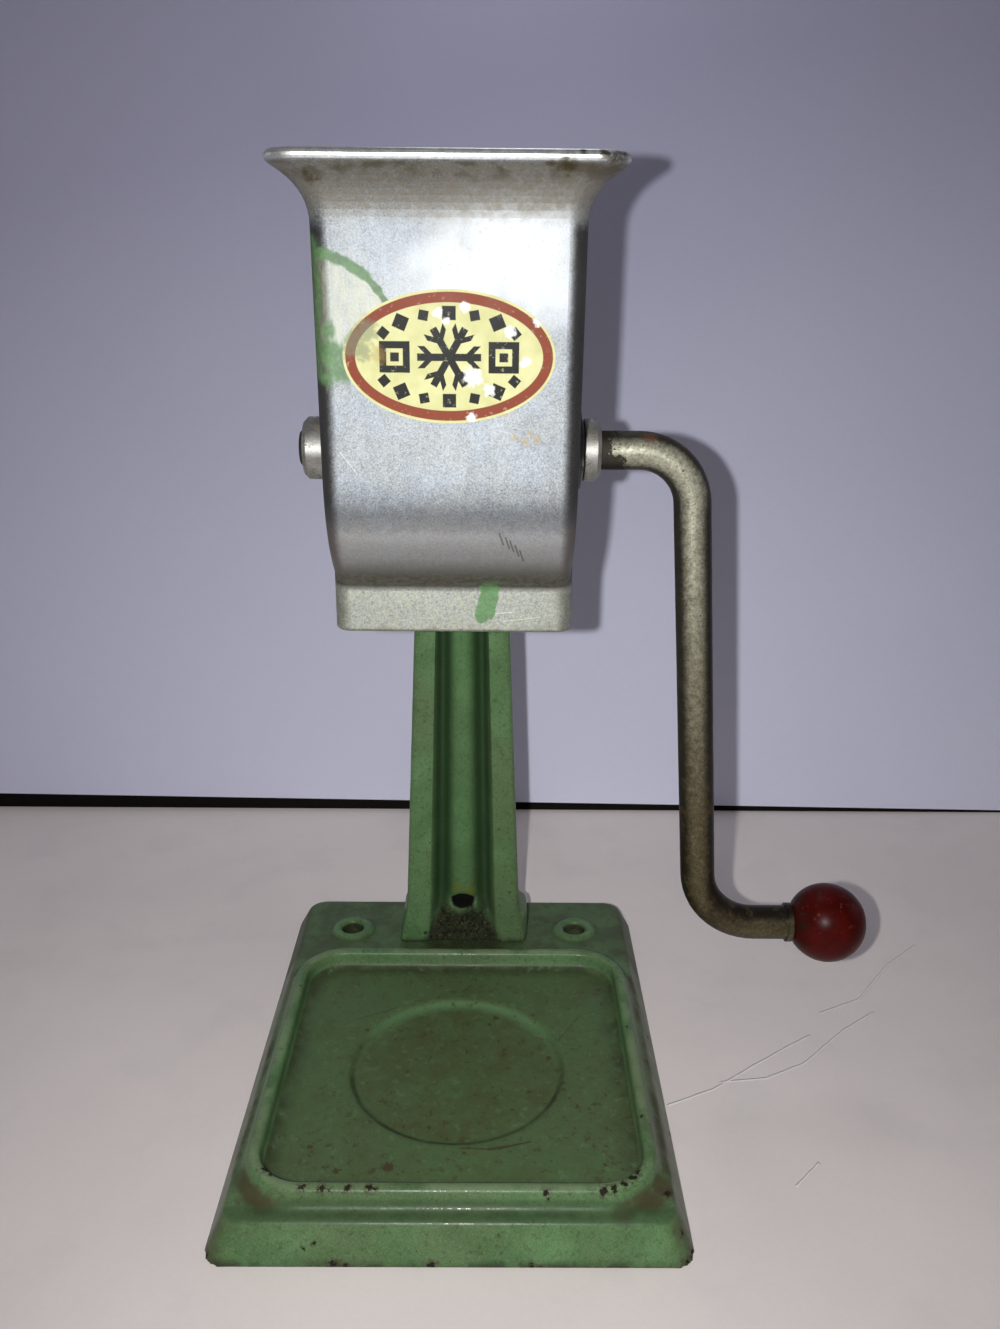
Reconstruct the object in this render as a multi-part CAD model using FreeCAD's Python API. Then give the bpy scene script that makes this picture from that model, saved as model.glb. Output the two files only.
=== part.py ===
import FreeCAD, Part
import math
import os

# Hand crank ice crusher: a hollow cast base with a glass tray, a ribbed cast column,
# an aluminium hopper with a toothed rotor and a fixed comb inside, and a bent rod crank.
# Millimetres. +X is the crank side, +Y the back, +Z up. The origin lies on the base's
# underside, midway between the two bench screw holes.

V = FreeCAD.Vector
X_AXIS = V(1, 0, 0)
Y_AXIS = V(0, 1, 0)
Z_AXIS = V(0, 0, 1)
ON_PLANE = 1e-4             # how near an edge or face lies to count as on a plane
ON_PROFILE = 1e-3           # the same, for a distance to a curved outline

# ---- Driving dimensions ----

# Base casting
TRAY_SIZE = 99.6            # inside of the square tray, at its top
TRAY_CORNER_R = 12.0
TRAY_DRAFT = 0.6            # the tray wall leans out by this much over its height
TRAY_DEPTH = 5.5
RIM_WIDTH = 3.0
RIM_HEIGHT = 5.0            # rim top above the plate
RIM_FOOT_SPREAD = 2.2       # how far the outside of the rim spreads at its foot
RIM_ROUND = 1.2
RIM_FOOT_ROUND = 1.8
TRAY_FLOOR_ROUND = 2.0
SIDE_LEDGE = 8.2            # rim to the foot of the skirt, each side
FRONT_LEDGE = 10.0          # rim to the foot of the skirt, in front
BACK_MARGIN = 14.0          # column to the foot of the skirt, behind
PLATE_TOP = 10.0
SKIRT_INSET = 4.8           # how far the skirt leans in over its height
SKIRT_CORNER_R = 6.0
SKIRT_ROUND = 1.4
BASE_WALL = 4.0
RECESS_R = 30.9
RECESS_DEPTH = 1.4
RECESS_ROUND = 1.0
BASE_RIB_T = 3.0
BASE_RIB_LIFT = 1.5         # ribs under the plate stay this far off the table

# Mounting holes beside the column
MOUNT_SPACING = 78.0
MOUNT_SETBACK = 9.0         # behind the front of the column
MOUNT_HOLE_D = 6.5
MOUNT_SINK_D = 14.6
MOUNT_SINK_DEPTH = 3.2
MOUNT_BOSS_D = 18.0

# Column casting
COLUMN_GAP = 9.4            # tray rim to the front of the column
COLUMN_DEPTH = 19.0
COLUMN_FOOT_WIDTH = 44.4
COLUMN_ANKLE_WIDTH = 37.8
COLUMN_ANKLE_RISE = 21.0    # height of the foot's flare above the plate
COLUMN_NECK_WIDTH = 29.0
COLUMN_NECK_DROP = 50.0     # shaft axis to the neck, where the head begins
COLUMN_ANKLE_FLANGE_W = 7.8
COLUMN_NECK_FLANGE_W = 6.6
COLUMN_ANKLE_RIB_W = 10.0
COLUMN_NECK_RIB_W = 8.0
COLUMN_RIB_ROUND = 2.6
COLUMN_FRONT_ROUND = 1.2
COLUMN_RIB_SETBACK = 0.8
COLUMN_FLUTE_DEPTH = 11.0
COLUMN_HEAD_FLUTE_DEPTH = 4.0
FLUTE_ROUND = 1.6
FOOT_FLARE_SHARE = 0.12     # how much of the flare is left halfway up the foot
COLUMN_BACK_ROUND = 4.0
HEAD_WIDTH = 34.0
HEAD_DEPTH = 12.0
HEAD_BELOW_SHAFT = 4.0
HEAD_ABOVE_SHAFT = 42.0
HEAD_ROUND = 5.0
FOOT_PAD_SETBACK = 2.0      # behind the front of the column
FOOT_PAD_DEPTH = 15.0
FOOT_PAD_HEIGHT = 11.4
FOOT_PAD_ROUND = 2.0
FOOT_PAD_TRIM = 1.6         # the pad is shorter than the foot by this, on the left
FOOT_RAMP_RISE = 16.6
FOOT_RAMP_WIDTH = 25.0
FOOT_RAMP_SETBACK = 1.0
FOOT_RAMP_LIP = 1.0
DRAIN_WIDTH = 7.5
DRAIN_HEIGHT = 4.4
DRAIN_DEPTH = 6.0

# Shaft line
SHAFT_BEHIND_TRAY = 7.2     # tray centre to shaft axis
SHAFT_Z = 188.0
ROD_D = 9.5
RUNNING_CLEARANCE = 0.05    # radial, rod in its bushes and knob on its stud
END_CLEARANCE = 0.3         # beside parts that turn
SEAT_CLEARANCE = 0.02       # radial, parts pressed or pinned together

# Hopper
HOPPER_WIDTH = 58.0         # at the flare
HOPPER_TAPER = 1.3          # narrower by this at the bottom of the body
HOPPER_DEPTH = 66.0
HOPPER_WALL = 2.8
HOPPER_INNER_R = 1.2
BODY_RISE = 50.4            # shaft axis to the foot of the flare
BELLY_DROP = 2.5            # belly centre below the shaft axis
SPOUT_STEP = 0.1            # the spout is narrower than the body at the flare by this
SPOUT_DEPTH = 35.0
SPOUT_DROP = 42.0           # shaft axis to the mouth of the spout
CREASE_R = 2.2              # where the belly runs into the spout, outside
SPOUT_LIP_ROUND = 0.9
FLARE_R = 12.0
FLARE_ANGLE = 55.0
FLARE_STRAIGHT = 2.6
FLARE_STEPS = 8
LIP_STEPS = 6
LIP_CREST_ANGLE = math.radians(10)
RIM_CORNER_R = 6.5
BOSS_D = 19.0
BOSS_LENGTH = 2.2
BACK_PAD_WIDTH = 32.0
BACK_PAD_T = 2.0
BACK_PAD_MARGIN = 2.0       # the pad stays this far inside the column head's height

# Bushes, washers and collars
BUSH_D = 13.0
THRUST_WASHER_D = 14.6
THRUST_WASHER_T = 0.6
COLLAR_D = 15.2
COLLAR_RIGHT_LENGTH = 4.0
COLLAR_LEFT_LENGTH = 5.1
COLLAR_CHAMFER = 1.0
COLLAR_PIN_D = 2.0
ROD_END_STICKOUT = 1.1
ROD_END_CHAMFER = 0.8

# Crank and knob
CRANK_SHOULDER_X = 58.6     # where the shaft line meets the arm's line
CRANK_THROW = 134.0
ARM_LEAN = 10.4             # the arm leans out by this over the throw
SHOULDER_BEND_R = 14.0
ELBOW_BEND_R = 17.0
KNOB_D = 22.2
KNOB_REACH = 36.8           # arm's lower corner to the knob's centre
KNOB_FLAT = 0.9             # depth of the flats at the knob's two ends
STUD_D = 6.0
FERRULE_D = 11.0
FERRULE_T = 1.4
KNOB_WASHER_D = 9.0
KNOB_WASHER_T = 0.8
KNOB_POCKET_DEPTH = 2.2
KNOB_SCREW_D = 3.5
KNOB_SCREW_LENGTH = 9.0
KNOB_SCREW_HEAD_D = 6.6
KNOB_SCREW_HEAD_T = 1.6
SLOT_WIDTH = 1.2
SLOT_DEPTH = 1.0

# Rotor and comb
HUB_D = 19.0
ROTOR_END_GAP = 0.8
TOOTH_ROWS = 5
TOOTH_PITCH = 10.0
TEETH_PER_ROW = 3
TOOTH_ROOT_W = 5.0
TOOTH_ROOT_T = 7.0
TOOTH_TIP_W = 3.4
TOOTH_TIP_T = 2.2
TOOTH_TIP_R = 26.0
TOOTH_SINK = 2.0            # tooth roots start this far inside the hub
ROTOR_PIN_D = 4.0
COMB_PLATE_T = 3.0
COMB_ABOVE_SHAFT = 38.0
FINGER_W = 3.8
FINGER_ROOT_H = 9.0
FINGER_TIP_H = 4.0
FINGER_HUB_GAP = 2.6

# Screws
HOPPER_SCREW_D = 5.0
HOPPER_SCREW_HEAD_D = 9.5
HOPPER_SCREW_HEAD_T = 3.4
HOPPER_SCREW_LOW = 11.0     # above the shaft axis
HOPPER_SCREW_HIGH = 31.0
COLUMN_SCREW_D = 6.0
COLUMN_SCREW_HEAD_AF = 10.0
COLUMN_SCREW_HEAD_T = 3.2
COLUMN_SCREW_SPACING = 26.0
COLUMN_SCREW_SETBACK = 14.0
COLUMN_SCREW_BITE = 11.0    # thread engaged in the column's foot
WASHER_T = 1.2
WASHER_EXTRA_D = 1.5        # washers are this much wider than the screw heads
SCREW_HOLE_CLEARANCE = 0.2  # radial
SCREW_TIP_GAP = 1.0

# Label on the front of the hopper
LABEL_WIDTH = 45.2
LABEL_HEIGHT = 27.6
LABEL_T = 0.25
LABEL_RISE = 24.2           # centre above the shaft axis

# ---- Places worked out from the sizes above ----

tray_outer = TRAY_SIZE + 2 * RIM_WIDTH
column_front = -MOUNT_SETBACK
column_back = column_front + COLUMN_DEPTH
column_screw_y = column_front + COLUMN_SCREW_SETBACK
tray_y = column_front - COLUMN_GAP - tray_outer / 2
shaft_y = tray_y + SHAFT_BEHIND_TRAY

base_width = tray_outer + 2 * SIDE_LEDGE
base_front = tray_y - tray_outer / 2 - FRONT_LEDGE
base_back = column_back + BACK_MARGIN
base_length = base_back - base_front
base_y = (base_front + base_back) / 2
rim_top = PLATE_TOP + RIM_HEIGHT
tray_floor = rim_top - TRAY_DEPTH
cavity_top = PLATE_TOP - BASE_WALL

hopper_corner_r = HOPPER_INNER_R + HOPPER_WALL
spout_width = HOPPER_WIDTH - SPOUT_STEP
belly_r = HOPPER_DEPTH / 2
belly_z = SHAFT_Z - BELLY_DROP
flare_z = SHAFT_Z + BODY_RISE
spout_z = SHAFT_Z - SPOUT_DROP
hopper_front = shaft_y - belly_r
hopper_back = shaft_y + belly_r
head_face = hopper_back + BACK_PAD_T
head_back = head_face + HEAD_DEPTH
head_bottom = SHAFT_Z - HEAD_BELOW_SHAFT
head_top = SHAFT_Z + HEAD_ABOVE_SHAFT
neck_z = SHAFT_Z - COLUMN_NECK_DROP
hopper_screw_zs = (SHAFT_Z + HOPPER_SCREW_LOW, SHAFT_Z + HOPPER_SCREW_HIGH)

wall_taper = HOPPER_TAPER / 2 * (flare_z - SHAFT_Z) / (flare_z - spout_z)
shaft_wall_x = HOPPER_WIDTH / 2 - wall_taper
inner_wall_x = shaft_wall_x - HOPPER_WALL
boss_x = shaft_wall_x + BOSS_LENGTH
washer_x = boss_x + THRUST_WASHER_T
collar_x = washer_x + END_CLEARANCE
rod_left_end = collar_x + COLLAR_LEFT_LENGTH + ROD_END_STICKOUT

arm_low_x = CRANK_SHOULDER_X + ARM_LEAN
arm_low_z = SHAFT_Z - CRANK_THROW
knob_x = arm_low_x + KNOB_REACH
knob_in_face = knob_x - KNOB_D / 2 + KNOB_FLAT
knob_out_face = knob_x + KNOB_D / 2 - KNOB_FLAT
knob_pocket_face = knob_out_face - KNOB_POCKET_DEPTH
ferrule_x = knob_in_face - END_CLEARANCE - FERRULE_T
stud_end = knob_pocket_face + END_CLEARANCE


# ---- Shape helpers ----

def rounded_rect(width, depth, radius, z, y_centre):
    """A horizontal rounded rectangle, centred on X = 0."""
    hx = width / 2
    hy = depth / 2
    diagonal = radius * (1 - math.sqrt(0.5))
    edges = []
    for quarter in range(4):
        sx = 1 if quarter in (0, 3) else -1
        sy = 1 if quarter in (0, 1) else -1
        side = V(sx * hx, y_centre + sy * (hy - radius), z)
        end = V(sx * (hx - radius), y_centre + sy * hy, z)
        middle = V(sx * (hx - diagonal), y_centre + sy * (hy - diagonal), z)
        start, stop = (side, end) if quarter in (0, 2) else (end, side)
        if edges:
            edges.append(Part.LineSegment(last, start).toShape())
        else:
            first = start
        edges.append(Part.Arc(start, middle, stop).toShape())
        last = stop
    edges.append(Part.LineSegment(last, first).toShape())
    return Part.Wire(edges)


def cylinder(diameter, start, stop):
    axis = stop - start
    return Part.makeCylinder(diameter / 2, axis.Length, start, axis)


def box(x0, x1, y0, y1, z0, z1):
    return Part.makeBox(x1 - x0, y1 - y0, z1 - z0, V(x0, y0, z0))


def shaft_point(x):
    return V(x, shaft_y, SHAFT_Z)


def fuse_all(shapes):
    result = shapes[0].multiFuse(shapes[1:])
    return result.removeSplitter()


def edges_at_z(shape, z, inside):
    """Edges lying in the plane at height z whose middle passes the test inside(x, y)."""
    found = []
    for edge in shape.Edges:
        low = edge.BoundBox.ZMin
        high = edge.BoundBox.ZMax
        if abs(low - z) < ON_PLANE and abs(high - z) < ON_PLANE:
            middle = edge.valueAt((edge.FirstParameter + edge.LastParameter) / 2)
            if inside(middle.x, middle.y):
                found.append(edge)
    return found


def polygon(points):
    return Part.Face(Part.makePolygon(points + points[:1]))


def slot_cut(top, across, outward):
    """A screwdriver slot through a head whose top lies at a point, along the vector across."""
    side = across.cross(outward).normalize() * (SLOT_WIDTH / 2)
    half = across * 0.5
    start = top - outward * SLOT_DEPTH
    corners = [start - half - side, start + half - side, start + half + side, start - half + side]
    return polygon(corners).extrude(outward * (2 * SLOT_DEPTH))


# ---- Base and column ----

def beside_rim(x, y):
    reach = tray_outer / 2 + RIM_FOOT_SPREAD
    return abs(x) <= reach and abs(y - tray_y) <= reach


def base_casting():
    top_w = base_width - 2 * SKIRT_INSET
    top_l = base_length - 2 * SKIRT_INSET
    plate = Part.makeLoft([rounded_rect(base_width, base_length, SKIRT_CORNER_R, 0, base_y),
                           rounded_rect(top_w, top_l, SKIRT_CORNER_R, PLATE_TOP, base_y)], True, True)
    plate = plate.makeFillet(SKIRT_ROUND, edges_at_z(plate, PLATE_TOP, lambda x, y: True))

    foot = tray_outer + 2 * RIM_FOOT_SPREAD
    outer_r = TRAY_CORNER_R + RIM_WIDTH
    rim = Part.makeLoft([
        rounded_rect(foot, foot, outer_r + RIM_FOOT_SPREAD, PLATE_TOP - SKIRT_ROUND / 2, tray_y),
        rounded_rect(tray_outer, tray_outer, outer_r, rim_top, tray_y)], True, True)
    floor_w = TRAY_SIZE - 2 * TRAY_DRAFT
    hollow = Part.makeLoft([
        rounded_rect(floor_w, floor_w, TRAY_CORNER_R - TRAY_DRAFT, tray_floor, tray_y),
        rounded_rect(TRAY_SIZE, TRAY_SIZE, TRAY_CORNER_R, rim_top, tray_y)], True, True)
    body = plate.fuse(rim)
    body = body.makeFillet(RIM_FOOT_ROUND, edges_at_z(body, PLATE_TOP, lambda x, y: beside_rim(x, y)))
    body = body.cut(hollow)
    body = body.makeFillet(RIM_ROUND, edges_at_z(body, rim_top, lambda x, y: True))
    half_floor = floor_w / 2 + TRAY_DRAFT / 2
    on_floor = edges_at_z(body, tray_floor, lambda x, y: abs(x) <= half_floor)
    body = body.makeFillet(TRAY_FLOOR_ROUND, on_floor)

    recess = cylinder(2 * RECESS_R, V(0, tray_y, tray_floor - RECESS_DEPTH), V(0, tray_y, tray_floor))
    body = body.cut(recess)
    near = RECESS_R + TRAY_FLOOR_ROUND
    mouth = edges_at_z(body, tray_floor, lambda x, y: math.hypot(x, y - tray_y) < near)
    body = body.makeFillet(RECESS_ROUND, mouth)

    hollow_w = base_width - 2 * BASE_WALL
    hollow_l = base_length - 2 * BASE_WALL
    cavity = Part.makeLoft([
        rounded_rect(hollow_w, hollow_l, SKIRT_CORNER_R, 0, base_y),
        rounded_rect(hollow_w - 2 * SKIRT_INSET, hollow_l - 2 * SKIRT_INSET, SKIRT_CORNER_R,
                     cavity_top, base_y)], True, True)
    for side in (-1, 1):
        rib_x = side * (MOUNT_SPACING / 2 - MOUNT_BOSS_D / 2)
        rib = box(rib_x - BASE_RIB_T / 2, rib_x + BASE_RIB_T / 2, base_front, base_back,
                  BASE_RIB_LIFT, PLATE_TOP)
        cavity = cavity.cut(rib)
        boss = cylinder(MOUNT_BOSS_D, V(side * MOUNT_SPACING / 2, 0, 0),
                        V(side * MOUNT_SPACING / 2, 0, PLATE_TOP))
        cavity = cavity.cut(boss)
    cross_y = column_front - COLUMN_GAP
    cross = box(-base_width / 2, base_width / 2, cross_y - BASE_RIB_T / 2, cross_y + BASE_RIB_T / 2,
                BASE_RIB_LIFT, PLATE_TOP)
    body = body.cut(cavity.cut(cross))

    for side in (-1, 1):
        x = side * MOUNT_SPACING / 2
        body = body.cut(cylinder(MOUNT_HOLE_D, V(x, 0, 0), V(x, 0, PLATE_TOP)))
        sink = Part.makeCone(MOUNT_HOLE_D / 2, MOUNT_SINK_D / 2, MOUNT_SINK_DEPTH,
                             V(x, 0, PLATE_TOP - MOUNT_SINK_DEPTH))
        body = body.cut(sink)
        x = side * COLUMN_SCREW_SPACING / 2
        hole = COLUMN_SCREW_D + 2 * SCREW_HOLE_CLEARANCE
        body = body.cut(cylinder(hole, V(x, column_screw_y, 0), V(x, column_screw_y, PLATE_TOP)))
    return body


def column_side_edges(y_low, y_high, x):
    """The column's edge seen from the side: straight, then an S-bend forward, then straight."""
    bend_low = neck_z
    bend_high = head_bottom
    mid = V(x, (y_low + y_high) / 2, (bend_low + bend_high) / 2)
    shift = y_high - y_low
    rise = bend_high - bend_low
    bend_r = (shift * shift + rise * rise) / (4 * abs(shift))
    turn = math.asin(rise / 2 / bend_r) / 2
    sign = 1 if shift > 0 else -1
    drop = bend_r * math.sin(turn)
    step = bend_r * (1 - math.cos(turn))
    start = V(x, y_low, bend_low)
    stop = V(x, y_high, bend_high)
    near_low = V(x, y_low + sign * step, bend_low + drop)
    near_high = V(x, y_high - sign * step, bend_high - drop)
    return [Part.LineSegment(V(x, y_low, PLATE_TOP), start).toShape(),
            Part.Arc(start, near_low, mid).toShape(),
            Part.Arc(mid, near_high, stop).toShape(),
            Part.LineSegment(stop, V(x, y_high, head_top)).toShape()]


def column_slab(front, back, head_front, head_back, wide):
    """A slab with the column's side view, centred on X = 0."""
    x = -wide / 2
    front_edges = column_side_edges(front, head_front, x)
    back_edges = column_side_edges(back, head_back, x)
    bottom = Part.LineSegment(V(x, front, PLATE_TOP), V(x, back, PLATE_TOP)).toShape()
    top = Part.LineSegment(V(x, head_front, head_top), V(x, head_back, head_top)).toShape()
    outline = Part.Wire(Part.__sortEdges__(front_edges + back_edges + [bottom, top]))
    return Part.Face(outline).extrude(X_AXIS * wide)


def upright_edges_on(shape, y_low, y_high):
    """Edges that climb the column along one of its side view's lines."""
    profile = Part.Wire(column_side_edges(y_low, y_high, 0))
    found = []
    for edge in shape.Edges:
        middle = edge.valueAt((edge.FirstParameter + edge.LastParameter) / 2)
        flat = Part.Vertex(V(0, middle.y, middle.z))
        if edge.BoundBox.ZLength > COLUMN_FRONT_ROUND and profile.distToShape(flat)[0] < ON_PROFILE:
            found.append(edge)
    return found


def tapered_outline(half_ankle, half_neck):
    """The outline of a slab that narrows from the ankle to the neck, seen from the front."""
    y = -base_length
    ankle_z = PLATE_TOP + COLUMN_ANKLE_RISE
    points = [V(-half_ankle, y, PLATE_TOP), V(-half_ankle, y, ankle_z), V(-half_neck, y, neck_z),
              V(-half_neck, y, head_bottom), V(half_neck, y, head_bottom), V(half_neck, y, neck_z),
              V(half_ankle, y, ankle_z), V(half_ankle, y, PLATE_TOP)]
    return polygon(points).extrude(Y_AXIS * (2 * base_length))


def column_outline():
    """The column's outline seen from the front: flared foot, tapered shaft and wider head."""
    foot = COLUMN_FOOT_WIDTH / 2
    ankle = COLUMN_ANKLE_WIDTH / 2
    neck = COLUMN_NECK_WIDTH / 2
    head = HEAD_WIDTH / 2
    ankle_z = PLATE_TOP + COLUMN_ANKLE_RISE
    shoulder_z = head_top - HEAD_ROUND
    tip = HEAD_ROUND * (1 - math.sqrt(0.5))
    taper = (ankle - neck) / (neck_z - ankle_z)
    foot_z = (PLATE_TOP + ankle_z) / 2
    foot_x = ankle + taper * (ankle_z - foot_z) + (foot - ankle) * FOOT_FLARE_SHARE
    y = -base_length
    edges = []
    for s in (-1, 1):
        edges.append(Part.Arc(V(s * foot, y, PLATE_TOP), V(s * foot_x, y, foot_z),
                              V(s * ankle, y, ankle_z)).toShape())
        edges.append(Part.LineSegment(V(s * ankle, y, ankle_z), V(s * neck, y, neck_z)).toShape())
        edges.append(Part.LineSegment(V(s * neck, y, neck_z), V(s * head, y, head_bottom)).toShape())
        edges.append(Part.LineSegment(V(s * head, y, head_bottom), V(s * head, y, shoulder_z)).toShape())
        edges.append(Part.Arc(V(s * head, y, shoulder_z), V(s * (head - tip), y, head_top - tip),
                              V(s * (head - HEAD_ROUND), y, head_top)).toShape())
    edges.append(Part.LineSegment(V(-foot, y, PLATE_TOP), V(foot, y, PLATE_TOP)).toShape())
    edges.append(Part.LineSegment(V(HEAD_ROUND - head, y, head_top),
                                  V(head - HEAD_ROUND, y, head_top)).toShape())
    outline = Part.Face(Part.Wire(Part.__sortEdges__(edges)))
    return outline.extrude(Y_AXIS * (2 * base_length))


def column_flutes(wide):
    """The two grooves down the front, with a rounded rib left between them."""
    flute_back = column_front + COLUMN_FLUTE_DEPTH
    head_flute_back = head_face + COLUMN_HEAD_FLUTE_DEPTH
    space = column_slab(column_front - COLUMN_DEPTH, flute_back, head_face - COLUMN_DEPTH,
                        head_flute_back, wide)
    space = space.common(tapered_outline(COLUMN_ANKLE_WIDTH / 2 - COLUMN_ANKLE_FLANGE_W,
                                         COLUMN_NECK_WIDTH / 2 - COLUMN_NECK_FLANGE_W))
    space = space.makeFillet(FLUTE_ROUND, upright_edges_on(space, flute_back, head_flute_back))
    rib_front = column_front + COLUMN_RIB_SETBACK
    head_rib_front = head_face + COLUMN_RIB_SETBACK
    rib = column_slab(rib_front, column_back, head_rib_front, head_back, wide)
    rib = rib.common(tapered_outline(COLUMN_ANKLE_RIB_W / 2, COLUMN_NECK_RIB_W / 2))
    rib = rib.makeFillet(COLUMN_RIB_ROUND, upright_edges_on(rib, rib_front, head_rib_front))
    return space.cut(rib)


def column_foot():
    """The pad behind the column's front and the ramp under the drain."""
    pad_y = column_front + FOOT_PAD_SETBACK + FOOT_PAD_DEPTH / 2
    pad_wire = rounded_rect(COLUMN_FOOT_WIDTH - FOOT_PAD_TRIM, FOOT_PAD_DEPTH, FOOT_PAD_ROUND,
                            PLATE_TOP, pad_y)
    pad = Part.Face(pad_wire).extrude(Z_AXIS * FOOT_PAD_HEIGHT)
    pad.translate(X_AXIS * (FOOT_PAD_TRIM / 2))
    ramp_y = column_front + FOOT_RAMP_SETBACK
    ramp_back = column_front + COLUMN_FLUTE_DEPTH
    half = FOOT_RAMP_WIDTH / 2
    top = COLUMN_ANKLE_RIB_W / 2
    ramp_z = PLATE_TOP + FOOT_RAMP_RISE
    loops = []
    for y, half_top, z in ((ramp_y, half, PLATE_TOP + FOOT_RAMP_LIP), (ramp_back, top, ramp_z)):
        loops.append(Part.makePolygon([V(-half, y, PLATE_TOP), V(half, y, PLATE_TOP), V(half_top, y, z),
                                       V(-half_top, y, z), V(-half, y, PLATE_TOP)]))
    return [pad, Part.makeLoft(loops, True, True)]


def column_casting():
    wide = 2 * max(COLUMN_FOOT_WIDTH, HEAD_WIDTH)
    body = column_slab(column_front, column_back, head_face, head_back, wide)
    body = body.common(column_outline())
    body = body.makeFillet(COLUMN_BACK_ROUND, upright_edges_on(body, column_back, head_back))
    body = body.makeFillet(COLUMN_FRONT_ROUND, upright_edges_on(body, column_front, head_face))
    body = body.cut(column_flutes(wide))
    body = fuse_all([body] + column_foot())

    drain = Part.Face(Part.Wire(Part.Ellipse(V(0, 0, 0), DRAIN_WIDTH / 2, DRAIN_HEIGHT / 2).toShape()))
    drain = drain.extrude(Z_AXIS * DRAIN_DEPTH)
    drain.rotate(V(0, 0, 0), X_AXIS, -90)
    drain.translate(V(0, column_front, PLATE_TOP + FOOT_RAMP_RISE))
    body = body.cut(drain)

    for side in (-1, 1):
        start = V(side * COLUMN_SCREW_SPACING / 2, column_screw_y, PLATE_TOP)
        depth = COLUMN_SCREW_BITE + SCREW_TIP_GAP
        body = body.cut(cylinder(COLUMN_SCREW_D + 2 * SEAT_CLEARANCE, start, start + Z_AXIS * depth))
    hole = HOPPER_SCREW_D + 2 * SCREW_HOLE_CLEARANCE
    for z in hopper_screw_zs:
        body = body.cut(cylinder(hole, V(0, head_face, z), V(0, head_back, z)))
    return body


def column_screws():
    screws = []
    head_z = cavity_top - WASHER_T
    for side in (-1, 1):
        centre = V(side * COLUMN_SCREW_SPACING / 2, column_screw_y, 0)
        shank = cylinder(COLUMN_SCREW_D, centre + Z_AXIS * head_z,
                         centre + Z_AXIS * (PLATE_TOP + COLUMN_SCREW_BITE))
        corner_r = COLUMN_SCREW_HEAD_AF / math.sqrt(3)
        corners = []
        for i in range(6):
            angle = math.radians(60 * i)
            corners.append(centre + V(corner_r * math.cos(angle), corner_r * math.sin(angle), head_z))
        head = polygon(corners).extrude(Z_AXIS * -COLUMN_SCREW_HEAD_T)
        screws.append(shank.fuse(head))
    return Part.makeCompound(screws)


def washer(outer_d, inner_d, start, direction, thickness):
    ring = cylinder(outer_d, start, start + direction * thickness)
    return ring.cut(cylinder(inner_d, start, start + direction * thickness))


def column_lock_washers():
    rings = []
    for side in (-1, 1):
        start = V(side * COLUMN_SCREW_SPACING / 2, column_screw_y, cavity_top - WASHER_T)
        rings.append(washer(COLUMN_SCREW_HEAD_AF + WASHER_EXTRA_D,
                            COLUMN_SCREW_D + 2 * SCREW_HOLE_CLEARANCE, start, Z_AXIS, WASHER_T))
    return Part.makeCompound(rings)


# ---- Hopper ----

def trunk(inset, corner_r):
    """The hopper's body below the flare: flat above, with a round belly about the rotor."""
    radius = belly_r - inset
    half_spout = SPOUT_DEPTH / 2 - inset
    bottom = belly_z - math.sqrt(radius * radius - half_spout * half_spout)
    front = shaft_y - radius
    back = shaft_y + radius
    half_w = HOPPER_WIDTH / 2
    x = -half_w

    def belly_point(angle):
        return V(x, shaft_y - radius * math.cos(angle), belly_z - radius * math.sin(angle))

    end_angle = math.acos(half_spout / radius)
    edges = [Part.LineSegment(V(x, front, flare_z), V(x, front, belly_z)).toShape(),
             Part.Arc(belly_point(0), belly_point(end_angle / 2), belly_point(end_angle)).toShape(),
             Part.LineSegment(belly_point(end_angle), belly_point(math.pi - end_angle)).toShape(),
             Part.Arc(belly_point(math.pi - end_angle), belly_point(math.pi - end_angle / 2),
                      belly_point(math.pi)).toShape(),
             Part.LineSegment(V(x, back, belly_z), V(x, back, flare_z)).toShape(),
             Part.LineSegment(V(x, back, flare_z), V(x, front, flare_z)).toShape()]
    body = Part.Face(Part.Wire(edges)).extrude(X_AXIS * HOPPER_WIDTH)

    low_half = half_w - HOPPER_TAPER / 2 - inset
    top_half = half_w - inset
    before = front - HOPPER_WALL
    tapered = polygon([V(-low_half, before, spout_z), V(low_half, before, spout_z),
                       V(top_half, before, flare_z), V(-top_half, before, flare_z)])
    body = body.common(tapered.extrude(Y_AXIS * (HOPPER_DEPTH + HOPPER_WALL)))
    long_edges = []
    for edge in body.Edges:
        middle = edge.valueAt((edge.FirstParameter + edge.LastParameter) / 2)
        inside_ends = bottom + ON_PROFILE < middle.z < flare_z - ON_PROFILE
        if inside_ends and abs(middle.x) > low_half - ON_PROFILE:
            long_edges.append(edge)
    return body.makeFillet(corner_r, long_edges)


def spout(inset, corner_r):
    half_spout = SPOUT_DEPTH / 2 - inset
    radius = belly_r - inset
    top = belly_z - math.sqrt(radius * radius - half_spout * half_spout) + corner_r
    wire = rounded_rect(spout_width - 2 * inset, 2 * half_spout, corner_r, spout_z, shaft_y)
    return Part.Face(wire).extrude(Z_AXIS * (top - spout_z))


def top_wire(body):
    """The outline of the trunk where the flare stands on it."""
    for face in body.Faces:
        if abs(face.BoundBox.ZMin - flare_z) < ON_PLANE:
            return face.OuterWire


def flare_section(out, rise, share):
    """The mouth's outline where it has spread by out, with the corner part of the way to the rim's."""
    corner = hopper_corner_r + (RIM_CORNER_R - hopper_corner_r) * share
    return rounded_rect(HOPPER_WIDTH + 2 * out, HOPPER_DEPTH + 2 * out, corner, flare_z + rise, shaft_y)


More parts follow.
